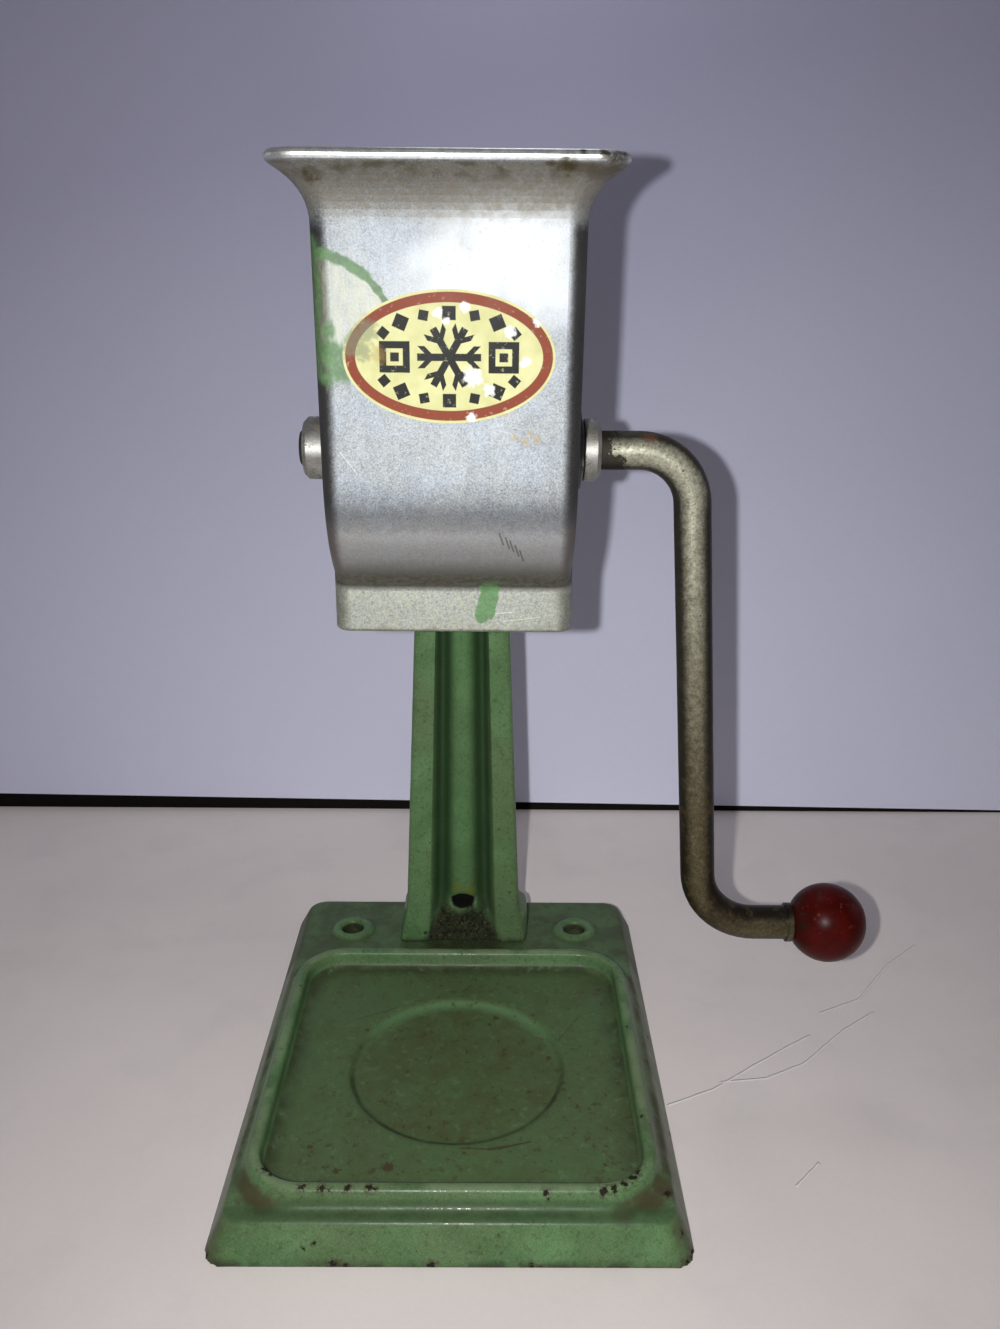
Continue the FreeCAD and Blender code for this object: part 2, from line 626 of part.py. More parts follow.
def inner_flare_section(out, rise, share):
    corner = HOPPER_INNER_R + (RIM_CORNER_R - HOPPER_WALL / 2 - HOPPER_INNER_R) * share
    return rounded_rect(HOPPER_WIDTH + 2 * out, HOPPER_DEPTH + 2 * out, corner, flare_z + rise, shaft_y)


def flare_solids(outer_trunk, inner_trunk):
    """The turned-out mouth with its round lip: the solid to add and the space inside it."""
    turn = math.radians(FLARE_ANGLE)
    lip_r = HOPPER_WALL / 2
    inner_r = FLARE_R + HOPPER_WALL
    lip_out = FLARE_R - (FLARE_R + lip_r) * math.cos(turn) + FLARE_STRAIGHT * math.sin(turn)
    lip_rise = (FLARE_R + lip_r) * math.sin(turn) + FLARE_STRAIGHT * math.cos(turn)
    outside = [top_wire(outer_trunk)]
    inside = [top_wire(inner_trunk)]
    for i in range(1, FLARE_STEPS + 1):
        share = i / FLARE_STEPS
        angle = turn * share
        outside.append(flare_section(FLARE_R * (1 - math.cos(angle)), FLARE_R * math.sin(angle), share))
        inside.append(inner_flare_section(FLARE_R - inner_r * math.cos(angle),
                                          inner_r * math.sin(angle), share))
    crest = math.pi / 2 - LIP_CREST_ANGLE
    for i in range(LIP_STEPS + 1):
        share = i / LIP_STEPS
        angle = -turn + (turn + crest) * share
        outside.append(flare_section(lip_out + lip_r * math.cos(angle),
                                     lip_rise + lip_r * math.sin(angle), 1))
        angle = math.pi - turn + (turn - crest) * share
        inside.append(inner_flare_section(lip_out + lip_r * math.cos(angle),
                                          lip_rise + lip_r * math.sin(angle), 1))
    above = lip_rise + 2 * lip_r
    inside.append(inner_flare_section(lip_out + lip_r * math.cos(math.pi - crest), above, 1))
    return Part.makeLoft(outside, True, True), Part.makeLoft(inside, True, True)


def crease_edges(body):
    """The edges along which the belly meets the spout's front and back."""
    crease_z = belly_z - math.sqrt(belly_r ** 2 - (SPOUT_DEPTH / 2) ** 2)
    found = []
    for edge in body.Edges:
        middle = edge.valueAt((edge.FirstParameter + edge.LastParameter) / 2)
        on_face = abs(abs(middle.y - shaft_y) - SPOUT_DEPTH / 2) < ON_PROFILE
        if on_face and abs(middle.z - crease_z) < ON_PROFILE and edge.BoundBox.XLength > belly_r:
            found.append(edge)
    return found


def hopper_shell():
    outer = trunk(0, hopper_corner_r)
    inner = trunk(HOPPER_WALL, HOPPER_INNER_R)
    mouth, mouth_space = flare_solids(outer, inner)
    shapes = [outer, mouth, spout(0, hopper_corner_r)]
    for side in (-1, 1):
        shapes.append(cylinder(BOSS_D, shaft_point(side * (inner_wall_x + HOPPER_WALL / 2)),
                               shaft_point(side * boss_x)))
    half_pad = BACK_PAD_WIDTH / 2
    shapes.append(box(-half_pad, half_pad, hopper_back - HOPPER_WALL / 2, head_face,
                      head_bottom + BACK_PAD_MARGIN, head_top - BACK_PAD_MARGIN))
    body = fuse_all(shapes)
    body = body.makeFillet(CREASE_R, crease_edges(body))
    body = body.makeFillet(SPOUT_LIP_ROUND, edges_at_z(body, spout_z, lambda x, y: True))
    for space in (inner, mouth_space, spout(HOPPER_WALL, HOPPER_INNER_R)):
        body = body.cut(space)
    bore = BUSH_D + 2 * SEAT_CLEARANCE
    body = body.cut(cylinder(bore, shaft_point(-boss_x), shaft_point(boss_x)))
    hole = HOPPER_SCREW_D + 2 * SCREW_HOLE_CLEARANCE
    for z in hopper_screw_zs:
        body = body.cut(cylinder(hole, V(0, shaft_y, z), V(0, head_face, z)))
    return body.removeSplitter()


def label_plate():
    ellipse = Part.Ellipse(V(0, 0, 0), LABEL_WIDTH / 2, LABEL_HEIGHT / 2).toShape()
    plate = Part.Face(Part.Wire(ellipse)).extrude(Z_AXIS * LABEL_T)
    plate.rotate(V(0, 0, 0), X_AXIS, 90)
    plate.translate(V(0, hopper_front, SHAFT_Z + LABEL_RISE))
    return plate


def breaker_comb():
    """The fixed plate on the hopper's back wall, with fingers that reach between the teeth."""
    back = hopper_back - HOPPER_WALL
    front = back - COMB_PLATE_T
    half_w = inner_wall_x - HOPPER_INNER_R - END_CLEARANCE
    low = belly_z
    plate = box(-half_w, half_w, front, back, low, SHAFT_Z + COMB_ABOVE_SHAFT)
    shapes = [plate]
    tip_y = shaft_y + HUB_D / 2 + FINGER_HUB_GAP
    for i in range(TOOTH_ROWS - 1):
        x = (i - (TOOTH_ROWS - 2) / 2) * TOOTH_PITCH - FINGER_W / 2
        finger = polygon([V(x, back, low), V(x, tip_y, low), V(x, tip_y, low + FINGER_TIP_H),
                          V(x, front, low + FINGER_ROOT_H), V(x, back, low + FINGER_ROOT_H)])
        shapes.append(finger.extrude(X_AXIS * FINGER_W))
    comb = fuse_all(shapes)
    for z in hopper_screw_zs:
        comb = comb.cut(cylinder(HOPPER_SCREW_D + 2 * SEAT_CLEARANCE, V(0, front, z), V(0, back, z)))
    return comb


def hopper_screws():
    screws = []
    seat = head_back + WASHER_T
    tip = hopper_back - HOPPER_WALL - COMB_PLATE_T
    for z in hopper_screw_zs:
        shank = cylinder(HOPPER_SCREW_D, V(0, tip, z), V(0, seat, z))
        head_r = HOPPER_SCREW_HEAD_D / 2
        dome_r = (head_r * head_r + HOPPER_SCREW_HEAD_T ** 2) / (2 * HOPPER_SCREW_HEAD_T)
        ball = Part.makeSphere(dome_r, V(0, seat + HOPPER_SCREW_HEAD_T - dome_r, z))
        head = ball.common(cylinder(HOPPER_SCREW_HEAD_D, V(0, seat, z),
                                    V(0, seat + HOPPER_SCREW_HEAD_T, z)))
        top = V(0, seat + HOPPER_SCREW_HEAD_T, z)
        head = head.cut(slot_cut(top, X_AXIS * (2 * HOPPER_SCREW_HEAD_D), Y_AXIS))
        screws.append(shank.fuse(head))
    return Part.makeCompound(screws)


def hopper_lock_washers():
    rings = []
    for z in hopper_screw_zs:
        rings.append(washer(HOPPER_SCREW_HEAD_D + WASHER_EXTRA_D,
                            HOPPER_SCREW_D + 2 * SCREW_HOLE_CLEARANCE,
                            V(0, head_back, z), Y_AXIS, WASHER_T))
    return Part.makeCompound(rings)


# ---- Shaft line: one set of parts for each side ----

def bush(side):
    bore = ROD_D + 2 * RUNNING_CLEARANCE
    return washer(BUSH_D, bore, shaft_point(side * inner_wall_x), X_AXIS * side, boss_x - inner_wall_x)


def thrust_washer(side):
    bore = ROD_D + 2 * RUNNING_CLEARANCE
    return washer(THRUST_WASHER_D, bore, shaft_point(side * boss_x), X_AXIS * side, THRUST_WASHER_T)


def collar(side, length):
    outer_x = side * (collar_x + length)
    ring = cylinder(COLLAR_D, shaft_point(side * collar_x), shaft_point(outer_x))
    rims = [e for e in ring.Edges if abs(e.BoundBox.XMin - outer_x) < ON_PLANE
            and abs(e.BoundBox.XMax - outer_x) < ON_PLANE]
    ring = ring.makeChamfer(COLLAR_CHAMFER, rims)
    ring = ring.cut(cylinder(ROD_D + 2 * SEAT_CLEARANCE, shaft_point(side * collar_x),
                             shaft_point(outer_x)))
    pin_x = side * (collar_x + length / 2)
    reach = Z_AXIS * COLLAR_D
    return ring.cut(cylinder(COLLAR_PIN_D + 2 * SEAT_CLEARANCE, shaft_point(pin_x) - reach,
                             shaft_point(pin_x) + reach))


def collar_pin_xs():
    return (-(collar_x + COLLAR_LEFT_LENGTH / 2), collar_x + COLLAR_RIGHT_LENGTH / 2)


def collar_pins():
    reach = Z_AXIS * (COLLAR_D / 2)
    return Part.makeCompound([cylinder(COLLAR_PIN_D, shaft_point(x) - reach, shaft_point(x) + reach)
                              for x in collar_pin_xs()])


def crank_path():
    """The rod's centre line: along the shaft, down the leaning arm and out to the knob."""
    corners = [V(-rod_left_end, shaft_y, SHAFT_Z), V(CRANK_SHOULDER_X, shaft_y, SHAFT_Z),
               V(arm_low_x, shaft_y, arm_low_z), V(ferrule_x, shaft_y, arm_low_z)]
    edges = []
    start = corners[0]
    for i, bend_r in ((1, SHOULDER_BEND_R), (2, ELBOW_BEND_R)):
        before = (corners[i - 1] - corners[i]).normalize()
        after = (corners[i + 1] - corners[i]).normalize()
        half_angle = before.getAngle(after) / 2
        tangent = bend_r / math.tan(half_angle)
        into = corners[i] + before * tangent
        out_of = corners[i] + after * tangent
        towards = (before + after).normalize()
        middle = corners[i] + towards * (bend_r / math.sin(half_angle) - bend_r)
        edges.append(Part.LineSegment(start, into).toShape())
        edges.append(Part.Arc(into, middle, out_of).toShape())
        start = out_of
    edges.append(Part.LineSegment(start, corners[3]).toShape())
    return Part.Wire(edges)


def rotor_pin_ends():
    reach = Y_AXIS * (HUB_D / 2)
    centre = shaft_point(TOOTH_PITCH / 2)
    return centre - reach, centre + reach


def crank_rod():
    circle = Part.Circle(shaft_point(-rod_left_end), X_AXIS, ROD_D / 2).toShape()
    rod = crank_path().makePipeShell([Part.Wire(circle)], True, True)
    ends = [e for e in rod.Edges if abs(e.BoundBox.XMin + rod_left_end) < ON_PLANE
            and abs(e.BoundBox.XMax + rod_left_end) < ON_PLANE]
    rod = rod.makeChamfer(ROD_END_CHAMFER, ends)
    stud = cylinder(STUD_D, V(ferrule_x, shaft_y, arm_low_z), V(stud_end, shaft_y, arm_low_z))
    rod = rod.fuse(stud)
    screw_hole = cylinder(KNOB_SCREW_D + 2 * SEAT_CLEARANCE,
                          V(stud_end - KNOB_SCREW_LENGTH - SCREW_TIP_GAP, shaft_y, arm_low_z),
                          V(stud_end, shaft_y, arm_low_z))
    rod = rod.cut(screw_hole)
    low, high = rotor_pin_ends()
    rod = rod.cut(cylinder(ROTOR_PIN_D + 2 * SEAT_CLEARANCE, low, high))
    reach = Z_AXIS * COLLAR_D
    for x in collar_pin_xs():
        rod = rod.cut(cylinder(COLLAR_PIN_D + 2 * SEAT_CLEARANCE, shaft_point(x) - reach,
                               shaft_point(x) + reach))
    return rod


def tooth():
    """One blunt tooth that points up from the shaft line at X = 0."""
    root_r = HUB_D / 2 - TOOTH_SINK
    loops = []
    for w, t, r in ((TOOTH_ROOT_W, TOOTH_ROOT_T, root_r), (TOOTH_TIP_W, TOOTH_TIP_T, TOOTH_TIP_R)):
        loops.append(Part.makePolygon([V(-w / 2, -t / 2, r), V(w / 2, -t / 2, r), V(w / 2, t / 2, r),
                                       V(-w / 2, t / 2, r), V(-w / 2, -t / 2, r)]))
    return Part.makeLoft(loops, True, True)


def breaker_rotor():
    half = inner_wall_x - ROTOR_END_GAP
    hub = cylinder(HUB_D, shaft_point(-half), shaft_point(half))
    shapes = [hub]
    step = 360.0 / TEETH_PER_ROW
    for row in range(TOOTH_ROWS):
        x = (row - (TOOTH_ROWS - 1) / 2) * TOOTH_PITCH
        for i in range(TEETH_PER_ROW):
            piece = tooth()
            piece.rotate(V(0, 0, 0), X_AXIS, step * (i + row / TOOTH_ROWS))
            piece.translate(shaft_point(x))
            shapes.append(piece)
    rotor = fuse_all(shapes)
    rotor = rotor.cut(cylinder(ROD_D + 2 * SEAT_CLEARANCE, shaft_point(-half), shaft_point(half)))
    low, high = rotor_pin_ends()
    return rotor.cut(cylinder(ROTOR_PIN_D + 2 * SEAT_CLEARANCE, low, high))


def rotor_pin():
    low, high = rotor_pin_ends()
    return cylinder(ROTOR_PIN_D, low, high)


# ---- Knob ----

def knob_point(x):
    return V(x, shaft_y, arm_low_z)


def knob():
    ball = Part.makeSphere(KNOB_D / 2, knob_point(knob_x))
    trimmed = ball.common(cylinder(KNOB_D, knob_point(knob_in_face), knob_point(knob_out_face)))
    bore = STUD_D + 2 * RUNNING_CLEARANCE
    trimmed = trimmed.cut(cylinder(bore, knob_point(knob_in_face), knob_point(knob_out_face)))
    pocket_d = KNOB_WASHER_D + 2 * END_CLEARANCE
    return trimmed.cut(cylinder(pocket_d, knob_point(knob_pocket_face), knob_point(knob_out_face)))


def knob_ferrule():
    return washer(FERRULE_D, STUD_D + 2 * SEAT_CLEARANCE, knob_point(ferrule_x), X_AXIS, FERRULE_T)


def knob_washer():
    return washer(KNOB_WASHER_D, KNOB_SCREW_D + 2 * SCREW_HOLE_CLEARANCE, knob_point(stud_end),
                  X_AXIS, KNOB_WASHER_T)


def knob_screw():
    seat = stud_end + KNOB_WASHER_T
    shank = cylinder(KNOB_SCREW_D, knob_point(stud_end - KNOB_SCREW_LENGTH), knob_point(seat))
    head_r = KNOB_SCREW_HEAD_D / 2
    dome_r = (head_r * head_r + KNOB_SCREW_HEAD_T ** 2) / (2 * KNOB_SCREW_HEAD_T)
    ball = Part.makeSphere(dome_r, knob_point(seat + KNOB_SCREW_HEAD_T - dome_r))
    head = ball.common(cylinder(KNOB_SCREW_HEAD_D, knob_point(seat), knob_point(seat + KNOB_SCREW_HEAD_T)))
    top = knob_point(seat + KNOB_SCREW_HEAD_T)
    head = head.cut(slot_cut(top, Z_AXIS * (2 * KNOB_SCREW_HEAD_D), X_AXIS))
    return shank.fuse(head)


# ---- Output: one file for each piece ----

NODES = {
    "base_casting": base_casting(),
    "column_casting": column_casting(),
    "column_screws": column_screws(),
    "column_lock_washers": column_lock_washers(),
    "hopper_shell": hopper_shell(),
    "hopper_screws": hopper_screws(),
    "hopper_lock_washers": hopper_lock_washers(),
    "breaker_comb": breaker_comb(),
    "label_plate": label_plate(),
    "bush_left": bush(-1),
    "bush_right": bush(1),
    "thrust_washer_left": thrust_washer(-1),
    "thrust_washer_right": thrust_washer(1),
    "crank_rod": crank_rod(),
    "breaker_rotor": breaker_rotor(),
    "rotor_pin": rotor_pin(),
    "collar_left": collar(-1, COLLAR_LEFT_LENGTH),
    "collar_right": collar(1, COLLAR_RIGHT_LENGTH),
    "collar_pins": collar_pins(),
    "knob": knob(),
    "knob_ferrule": knob_ferrule(),
    "knob_washer": knob_washer(),
    "knob_screw": knob_screw(),
}

os.makedirs("parts", exist_ok=True)
for name, shape in NODES.items():
    shape.exportStep("parts/" + name + ".step")
    solids = len(shape.Solids)
    print(name, "valid", shape.isValid(), "solids", solids, "volume", round(shape.Volume, 1))
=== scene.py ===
from functools import reduce
import math

import bmesh
import bpy
from mathutils import Matrix, Vector


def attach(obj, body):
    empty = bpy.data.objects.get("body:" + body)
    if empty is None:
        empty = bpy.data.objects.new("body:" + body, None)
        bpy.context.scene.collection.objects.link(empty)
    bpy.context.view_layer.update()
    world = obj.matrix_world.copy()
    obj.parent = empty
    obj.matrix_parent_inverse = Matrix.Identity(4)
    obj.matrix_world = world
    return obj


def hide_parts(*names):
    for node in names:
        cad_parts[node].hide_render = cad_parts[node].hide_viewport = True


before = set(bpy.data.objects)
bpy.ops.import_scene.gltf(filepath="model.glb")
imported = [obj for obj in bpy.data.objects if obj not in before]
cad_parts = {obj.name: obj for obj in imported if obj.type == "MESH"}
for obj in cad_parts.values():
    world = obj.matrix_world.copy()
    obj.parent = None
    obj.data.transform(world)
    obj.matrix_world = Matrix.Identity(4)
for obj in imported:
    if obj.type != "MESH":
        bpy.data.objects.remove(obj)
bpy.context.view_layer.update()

MM = 0.001

# Places on the object, in millimetres.
SHAFT_Y = -64.0
SHAFT_Z = 188.0
BELLY_Z = 185.5             # the centre of the hopper's round belly
BELLY_R = 33.0
TRAY_Y = -71.2              # the tray's centre
TRAY_HALF = 49.2            # inside the rim
TRAY_CORNER_R = 11.4
RIM_FOOT_HALF = 55.0        # outside the rim, where it meets the skirt's top
RIM_FOOT_CORNER_R = 17.2
RECESS_Z = 8.1              # the floor of the round recess
BENCH_HOLE_X = 39.0
ARM_LOW_Z = 54.0            # the knob's axle
COLUMN_FRONT_Y = -9.0
ANKLE_Z = 31.0
NECK_Z = 138.0
DRAIN_Z = 26.6
DRAIN_HALF = (3.75, 2.2)

# The column's flutes, in millimetres and shares of a flute's width.
CHANNEL_FOOT = 12.9         # outer wall of the solid's channels, at the ankle
CHANNEL_NECK = 9.9          # and at the neck
FLUTE_SHARE = 0.83          # a flute reaches out to this share of the channel
FLUTE_DEEPEST = 0.72        # and is deepest here
RIB_CREST = 1.6
FLUTE_DEPTH = 6.0
FLUTE_REACH_Y = 4.0         # what lies behind this is the casting's back
FLUTE_RUN_OUT = (2.0, 12.0)  # the flutes fade out between these distances below the neck
MOUND_TOP_Z = 30.0          # below the drain hole the rib spreads to a mound
MOUND_FOOT_Z = 12.0
MOUND_HALF_WIDTH = 8.5
MOUND_RECESS = 1.8
MOUND_RISE = 0.5            # share of the flutes' depth that the mound fills
FOOT_FADE_Z = (10.2, 11.4)  # the casting's foot keeps its shape below this
DRAIN_REACH = 1.2           # nothing is shaped within this many of the drain hole's half sizes

# How the castings are softened.
BASE_VOXEL = 0.80
BASE_PASSES = 4
COLUMN_VOXEL = 0.62
COLUMN_PASSES = 34
WELD = 0.005
RING_Z = 9.6                # the raised rings round the bench holes
RING_R = 5.4
RING_THICKNESS = 3.8
RING_SECTION_SIDES = 20
RING_STEPS = 64

scene = bpy.context.scene
scene.view_settings.view_transform = "Standard"


# ---- Camera ----

CAMERA_PLACE = (9.70, -344.11, 229.37)     # millimetres, and the angles in degrees
CAMERA_PITCH = 19.23
CAMERA_YAW = 0.386
CAMERA_ROLL = 0.508
CAMERA_LENS = 30.466
SENSOR_WIDTH = 36.0
CLIP_START = 0.01


def make_camera():
    data = bpy.data.cameras.new("camera")
    data.lens = CAMERA_LENS
    data.sensor_width = SENSOR_WIDTH
    data.clip_start = CLIP_START
    camera = bpy.data.objects.new("camera", data)
    scene.collection.objects.link(camera)
    pitch, yaw, roll = (math.radians(a) for a in (CAMERA_PITCH, CAMERA_YAW, CAMERA_ROLL))
    ahead = Vector((math.sin(yaw) * math.cos(pitch), math.cos(yaw) * math.cos(pitch),
                    -math.sin(pitch)))
    level = Vector((math.cos(yaw), -math.sin(yaw), 0))
    up = level.cross(ahead)
    right = level * math.cos(roll) + up * math.sin(roll)
    above = up * math.cos(roll) - level * math.sin(roll)
    turn = Matrix((right, above, -ahead)).transposed()
    camera.matrix_world = Matrix.Translation(Vector(CAMERA_PLACE) * MM) @ turn.to_4x4()
    scene.camera = camera


make_camera()


# ---- Shader maths ----

class Value:
    """A shader socket that adds a Math node where it meets an operator."""

    def __init__(self, finish, socket):
        self.finish = finish
        self.socket = socket

    def math(self, operation, *others):
        values = dict(enumerate((self,) + others))
        return self.finish.node("ShaderNodeMath", {"operation": operation}, values)

    def __add__(self, other):
        return self.math("ADD", other)

    __radd__ = __add__

    def __sub__(self, other):
        return self.math("SUBTRACT", other)

    def __rsub__(self, other):
        return self.finish.node("ShaderNodeMath", {"operation": "SUBTRACT"}, {0: other, 1: self})

    def __mul__(self, other):
        return self.math("MULTIPLY", other)

    __rmul__ = __mul__

    def __truediv__(self, other):
        return self.math("DIVIDE", other)

    def __pow__(self, other):
        return self.math("POWER", other)

    def __abs__(self):
        return self.math("ABSOLUTE")

    def least(self, other):
        return self.math("MINIMUM", other)

    def most(self, other):
        return self.math("MAXIMUM", other)

    def step(self, low, high):
        """0 below low, 1 above high, smooth between. With low above high it runs the other way."""
        if low > high:
            return 1 - self.step(high, low)
        return self.finish.node("ShaderNodeMapRange", {"interpolation_type": "SMOOTHSTEP"},
                                {0: self, 1: low, 2: high})


def union(values):
    """The most of several shader values."""
    return reduce(Value.most, values)


class Finish:
    """A material and the tools that paint it. Places in it are in millimetres."""

    def __init__(self, name, **constants):
        self.material = bpy.data.materials.new(name)
        self.material.use_nodes = True
        self.tree = self.material.node_tree
        self.shader = self.tree.nodes["Principled BSDF"]
        for socket, value in constants.items():
            self.shader.inputs[socket.replace("_", " ")].default_value = value
        metres = self.node("ShaderNodeTexCoord", out="Object")
        self.place = self.vector("SCALE", metres, scale=1 / MM)
        self.x, self.y, self.z = (self.node("ShaderNodeSeparateXYZ", values={0: self.place}, out=i)
                                  for i in range(3))

    def node(self, kind, settings=None, values=None, out=0):
        made = self.tree.nodes.new(kind)
        for key, setting in (settings or {}).items():
            setattr(made, key, setting)
        for socket, value in (values or {}).items():
            if isinstance(value, Value):
                self.tree.links.new(value.socket, made.inputs[socket])
            else:
                made.inputs[socket].default_value = value
        return Value(self, made.outputs[out])

    def vector(self, operation, a, b=None, scale=None):
        values = {0: a}
        if b is not None:
            values[1] = b
        if scale is not None:
            values["Scale"] = scale
        out = 1 if operation in ("DISTANCE", "DOT_PRODUCT") else 0
        return self.node("ShaderNodeVectorMath", {"operation": operation}, values, out)

    def noise(self, size, detail=3.0, seed=0.0, rough=0.55, stretch=None):
        """Noise between about 0.2 and 0.8 whose blobs are about size millimetres across."""
        where = self.place
        if stretch:
            where = self.vector("MULTIPLY", where, stretch)
        return self.node("ShaderNodeTexNoise", {"noise_dimensions": "4D"},
                         {"Vector": where, "W": seed, "Scale": 1 / size, "Detail": detail,
                          "Roughness": rough})

    def specks(self, size, share, seed=0.0, radius=0.35):
        """Round specks in a share of the cells of a grid of the given size."""
        settings = {"voronoi_dimensions": "4D"}
        values = {"Vector": self.place, "W": seed, "Scale": 1 / size}
        distance = self.node("ShaderNodeTexVoronoi", settings, values, "Distance")
        color = self.node("ShaderNodeTexVoronoi", settings, values, "Color")
        chance = self.node("ShaderNodeSeparateColor", values={0: color})
        return distance.step(radius, radius * 0.6) * chance.step(1 - share, 1 - share + 0.01)

    def mix(self, factor, a, b, blend="MIX"):
        a = (*a, 1) if isinstance(a, tuple) else a
        b = (*b, 1) if isinstance(b, tuple) else b
        return self.node("ShaderNodeMix", {"data_type": "RGBA", "blend_type": blend},
                         {0: factor, 6: a, 7: b}, 2)

    def distance(self, point):
        return self.vector("DISTANCE", self.place, point)

    def spots(self, spots, ragged, soft=0.3):
        """The union of rough round spots, each (x, y, z, radius)."""
        wobble = (ragged - 0.5) * 2.6
        return union((self.distance((x, y, z)) / radius + wobble).step(1 + soft, 1 - soft)
                     for x, y, z, radius in spots)

    def stroke(self, start, stop, width, ragged=None, soft=0.4):
        """A line from one point to another, width wide, with soft or ragged edges."""
        start = Vector(start)
        run = Vector(stop) - start
        offset = self.vector("SUBTRACT", self.place, tuple(start))
        along = self.vector("DOT_PRODUCT", offset, tuple(run)) / run.length_squared
        along = along.most(0.0).least(1.0)
        nearest = self.vector("SCALE", tuple(run), scale=along)
        away = self.vector("DISTANCE", offset, nearest) / (width / 2)
        if ragged is not None:
            away = away + (ragged - 0.5) * 2.0
        return away.step(1 + soft, 1 - soft)

    def box_edge(self, half, centre_y, corner):
        """Distance outside (above 0) or inside (below 0) an upright square with round corners."""
        qx = abs(self.x) - (half - corner)
        qy = abs(self.y - centre_y) - (half - corner)
        outside = (qx.most(0.0) ** 2.0 + qy.most(0.0) ** 2.0) ** 0.5
        return outside + qx.most(qy).least(0.0) - corner

    def feed(self, color, roughness=None, metallic=None, coat=None, height=None, depth=0.1):
        """Links what varies to the shader. Height is in units of depth, which is in millimetres."""
        links = {"Base Color": color, "Roughness": roughness, "Metallic": metallic,
                 "Coat Weight": coat}
        for socket, value in links.items():
            if value is not None:
                self.tree.links.new(value.socket, self.shader.inputs[socket])
        if height is not None:
            bump = self.node("ShaderNodeBump", values={"Height": height, "Distance": depth * MM})
            self.tree.links.new(bump.socket, self.shader.inputs["Normal"])
        return self.material


# ---- Finishes ----

ENAMEL_LIGHT = (0.122, 0.245, 0.100)
ENAMEL_DARK = (0.078, 0.168, 0.064)
ENAMEL_DULL = (0.096, 0.137, 0.062)
GRIME_AND_SHADE = (0.030, 0.032, 0.016)
RUST_BROWN = (0.060, 0.036, 0.018)
BARE_IRON_AND_SHADE = (0.016, 0.012, 0.009)
WORN_EDGE = (0.250, 0.300, 0.170)

FLOOR_DULL = (0.072, 0.102, 0.038)
RECESS_HIGHLIGHT = (0.115, 0.235, 0.100)
RECESS_DIRT = (0.070, 0.080, 0.026)
SCUFFED_ENAMEL = (0.150, 0.255, 0.125)
LEDGE_STAIN = (0.070, 0.050, 0.024)
SIDE_GRIME = (0.075, 0.068, 0.036)
LEDGE_SHADE = (0.045, 0.085, 0.034)
HOLE_SHADE = (0.002, 0.003, 0.002)
PLATE_DUST = (0.052, 0.064, 0.028)
SPILT_DIRT = (0.024, 0.026, 0.012)
RIB_GREEN = (0.056, 0.150, 0.050)
FLUTE_SHADE = (0.018, 0.042, 0.016)
FOOT_DIRT = (0.022, 0.024, 0.010)
PALE_GRIT = (0.095, 0.105, 0.042)
MOSS = (0.120, 0.150, 0.030)
DRAIN_SHADE = (0.003, 0.003, 0.002)

RIM_CHIPS = [(-36.8, -123.2, 14.6, 1.3), (-31.8, -123.5, 14.6, 1.5), (-29.9, -123.7, 14.3, 0.8),
             (-25.6, -123.5, 14.6, 1.3), (-20.1, -123.4, 14.7, 1.4), (-18.6, -123.7, 14.3, 0.9),
             (23.7, -124.2, 14.2, 1.4), (24.2, -124.9, 13.0, 0.8),
             (38.0, -123.9, 14.5, 1.7), (40.6, -123.2, 14.6, 1.6), (43.2, -121.9, 14.8, 1.5),
             (45.6, -120.0, 14.9, 1.8), (47.3, -117.9, 14.9, 1.7), (48.2, -115.2, 14.9, 1.2),
             (47.0, -116.0, 14.9, 1.1), (-46.7, -117.4, 14.7, 1.9), (-45.4, -119.2, 14.4, 0.9),
             (-52.0, -98.0, 12.0, 0.9), (50.6, -98.0, 14.8, 0.6), (50.9, -60.0, 14.9, 0.7),
             (-50.5, -40.0, 14.9, 0.6), (-51.5, -71.0, 14.2, 0.8)]
SKIRT_CHIPS = [(54.9, -120.0, 9.6, 1.8), (55.6, -118.6, 9.2, 1.0), (57.9, -128.6, 6.0, 1.3),
               (-28.4, -133.6, 0.6, 1.9), (-25.0, -133.6, 0.4, 1.2), (-4.4, -133.6, 0.5, 1.6),
               (20.1, -133.6, 0.4, 1.4), (22.4, -133.7, 0.2, 1.0), (12.0, -131.0, 7.5, 0.7),
               (-33.0, -131.5, 5.2, 1.0), (-35.6, -132.0, 4.0, 0.7), (5.6, -132.5, 3.6, 0.6),
               (58.9, -133.0, 1.0, 2.0), (60.4, -130.0, 0.8, 2.2), (-60.0, -131.0, 0.5, 1.6),
               (-57.8, -105.0, 7.0, 0.8), (60.3, -90.0, 1.6, 1.6), (58.6, -52.0, 5.0, 1.1),
               (-60.4, -60.0, 1.2, 1.8), (-58.5, -20.0, 5.0, 0.9), (60.2, -6.0, 1.5, 1.7),
               (12.0, 23.3, 1.0, 2.1), (-32.0, 22.6, 2.6, 1.4), (40.0, 20.2, 9.2, 1.2)]
FLOOR_MARKS = [(-16.9, -111.0, 9.5, 1.6), (-38.0, -104.0, 9.5, 0.8), (-30.0, -112.5, 9.5, 0.9),
               (11.4, -46.9, 8.9, 1.2), (9.4, -50.4, 8.1, 0.7), (-7.0, -95.0, 8.1, 0.6),
               (27.0, -66.0, 8.3, 0.8), (3.0, -106.0, 9.5, 0.5), (40.0, -110.0, 9.5, 0.6),
               (-28.0, -55.0, 9.5, 0.7), (16.0, -88.0, 8.1, 0.5)]
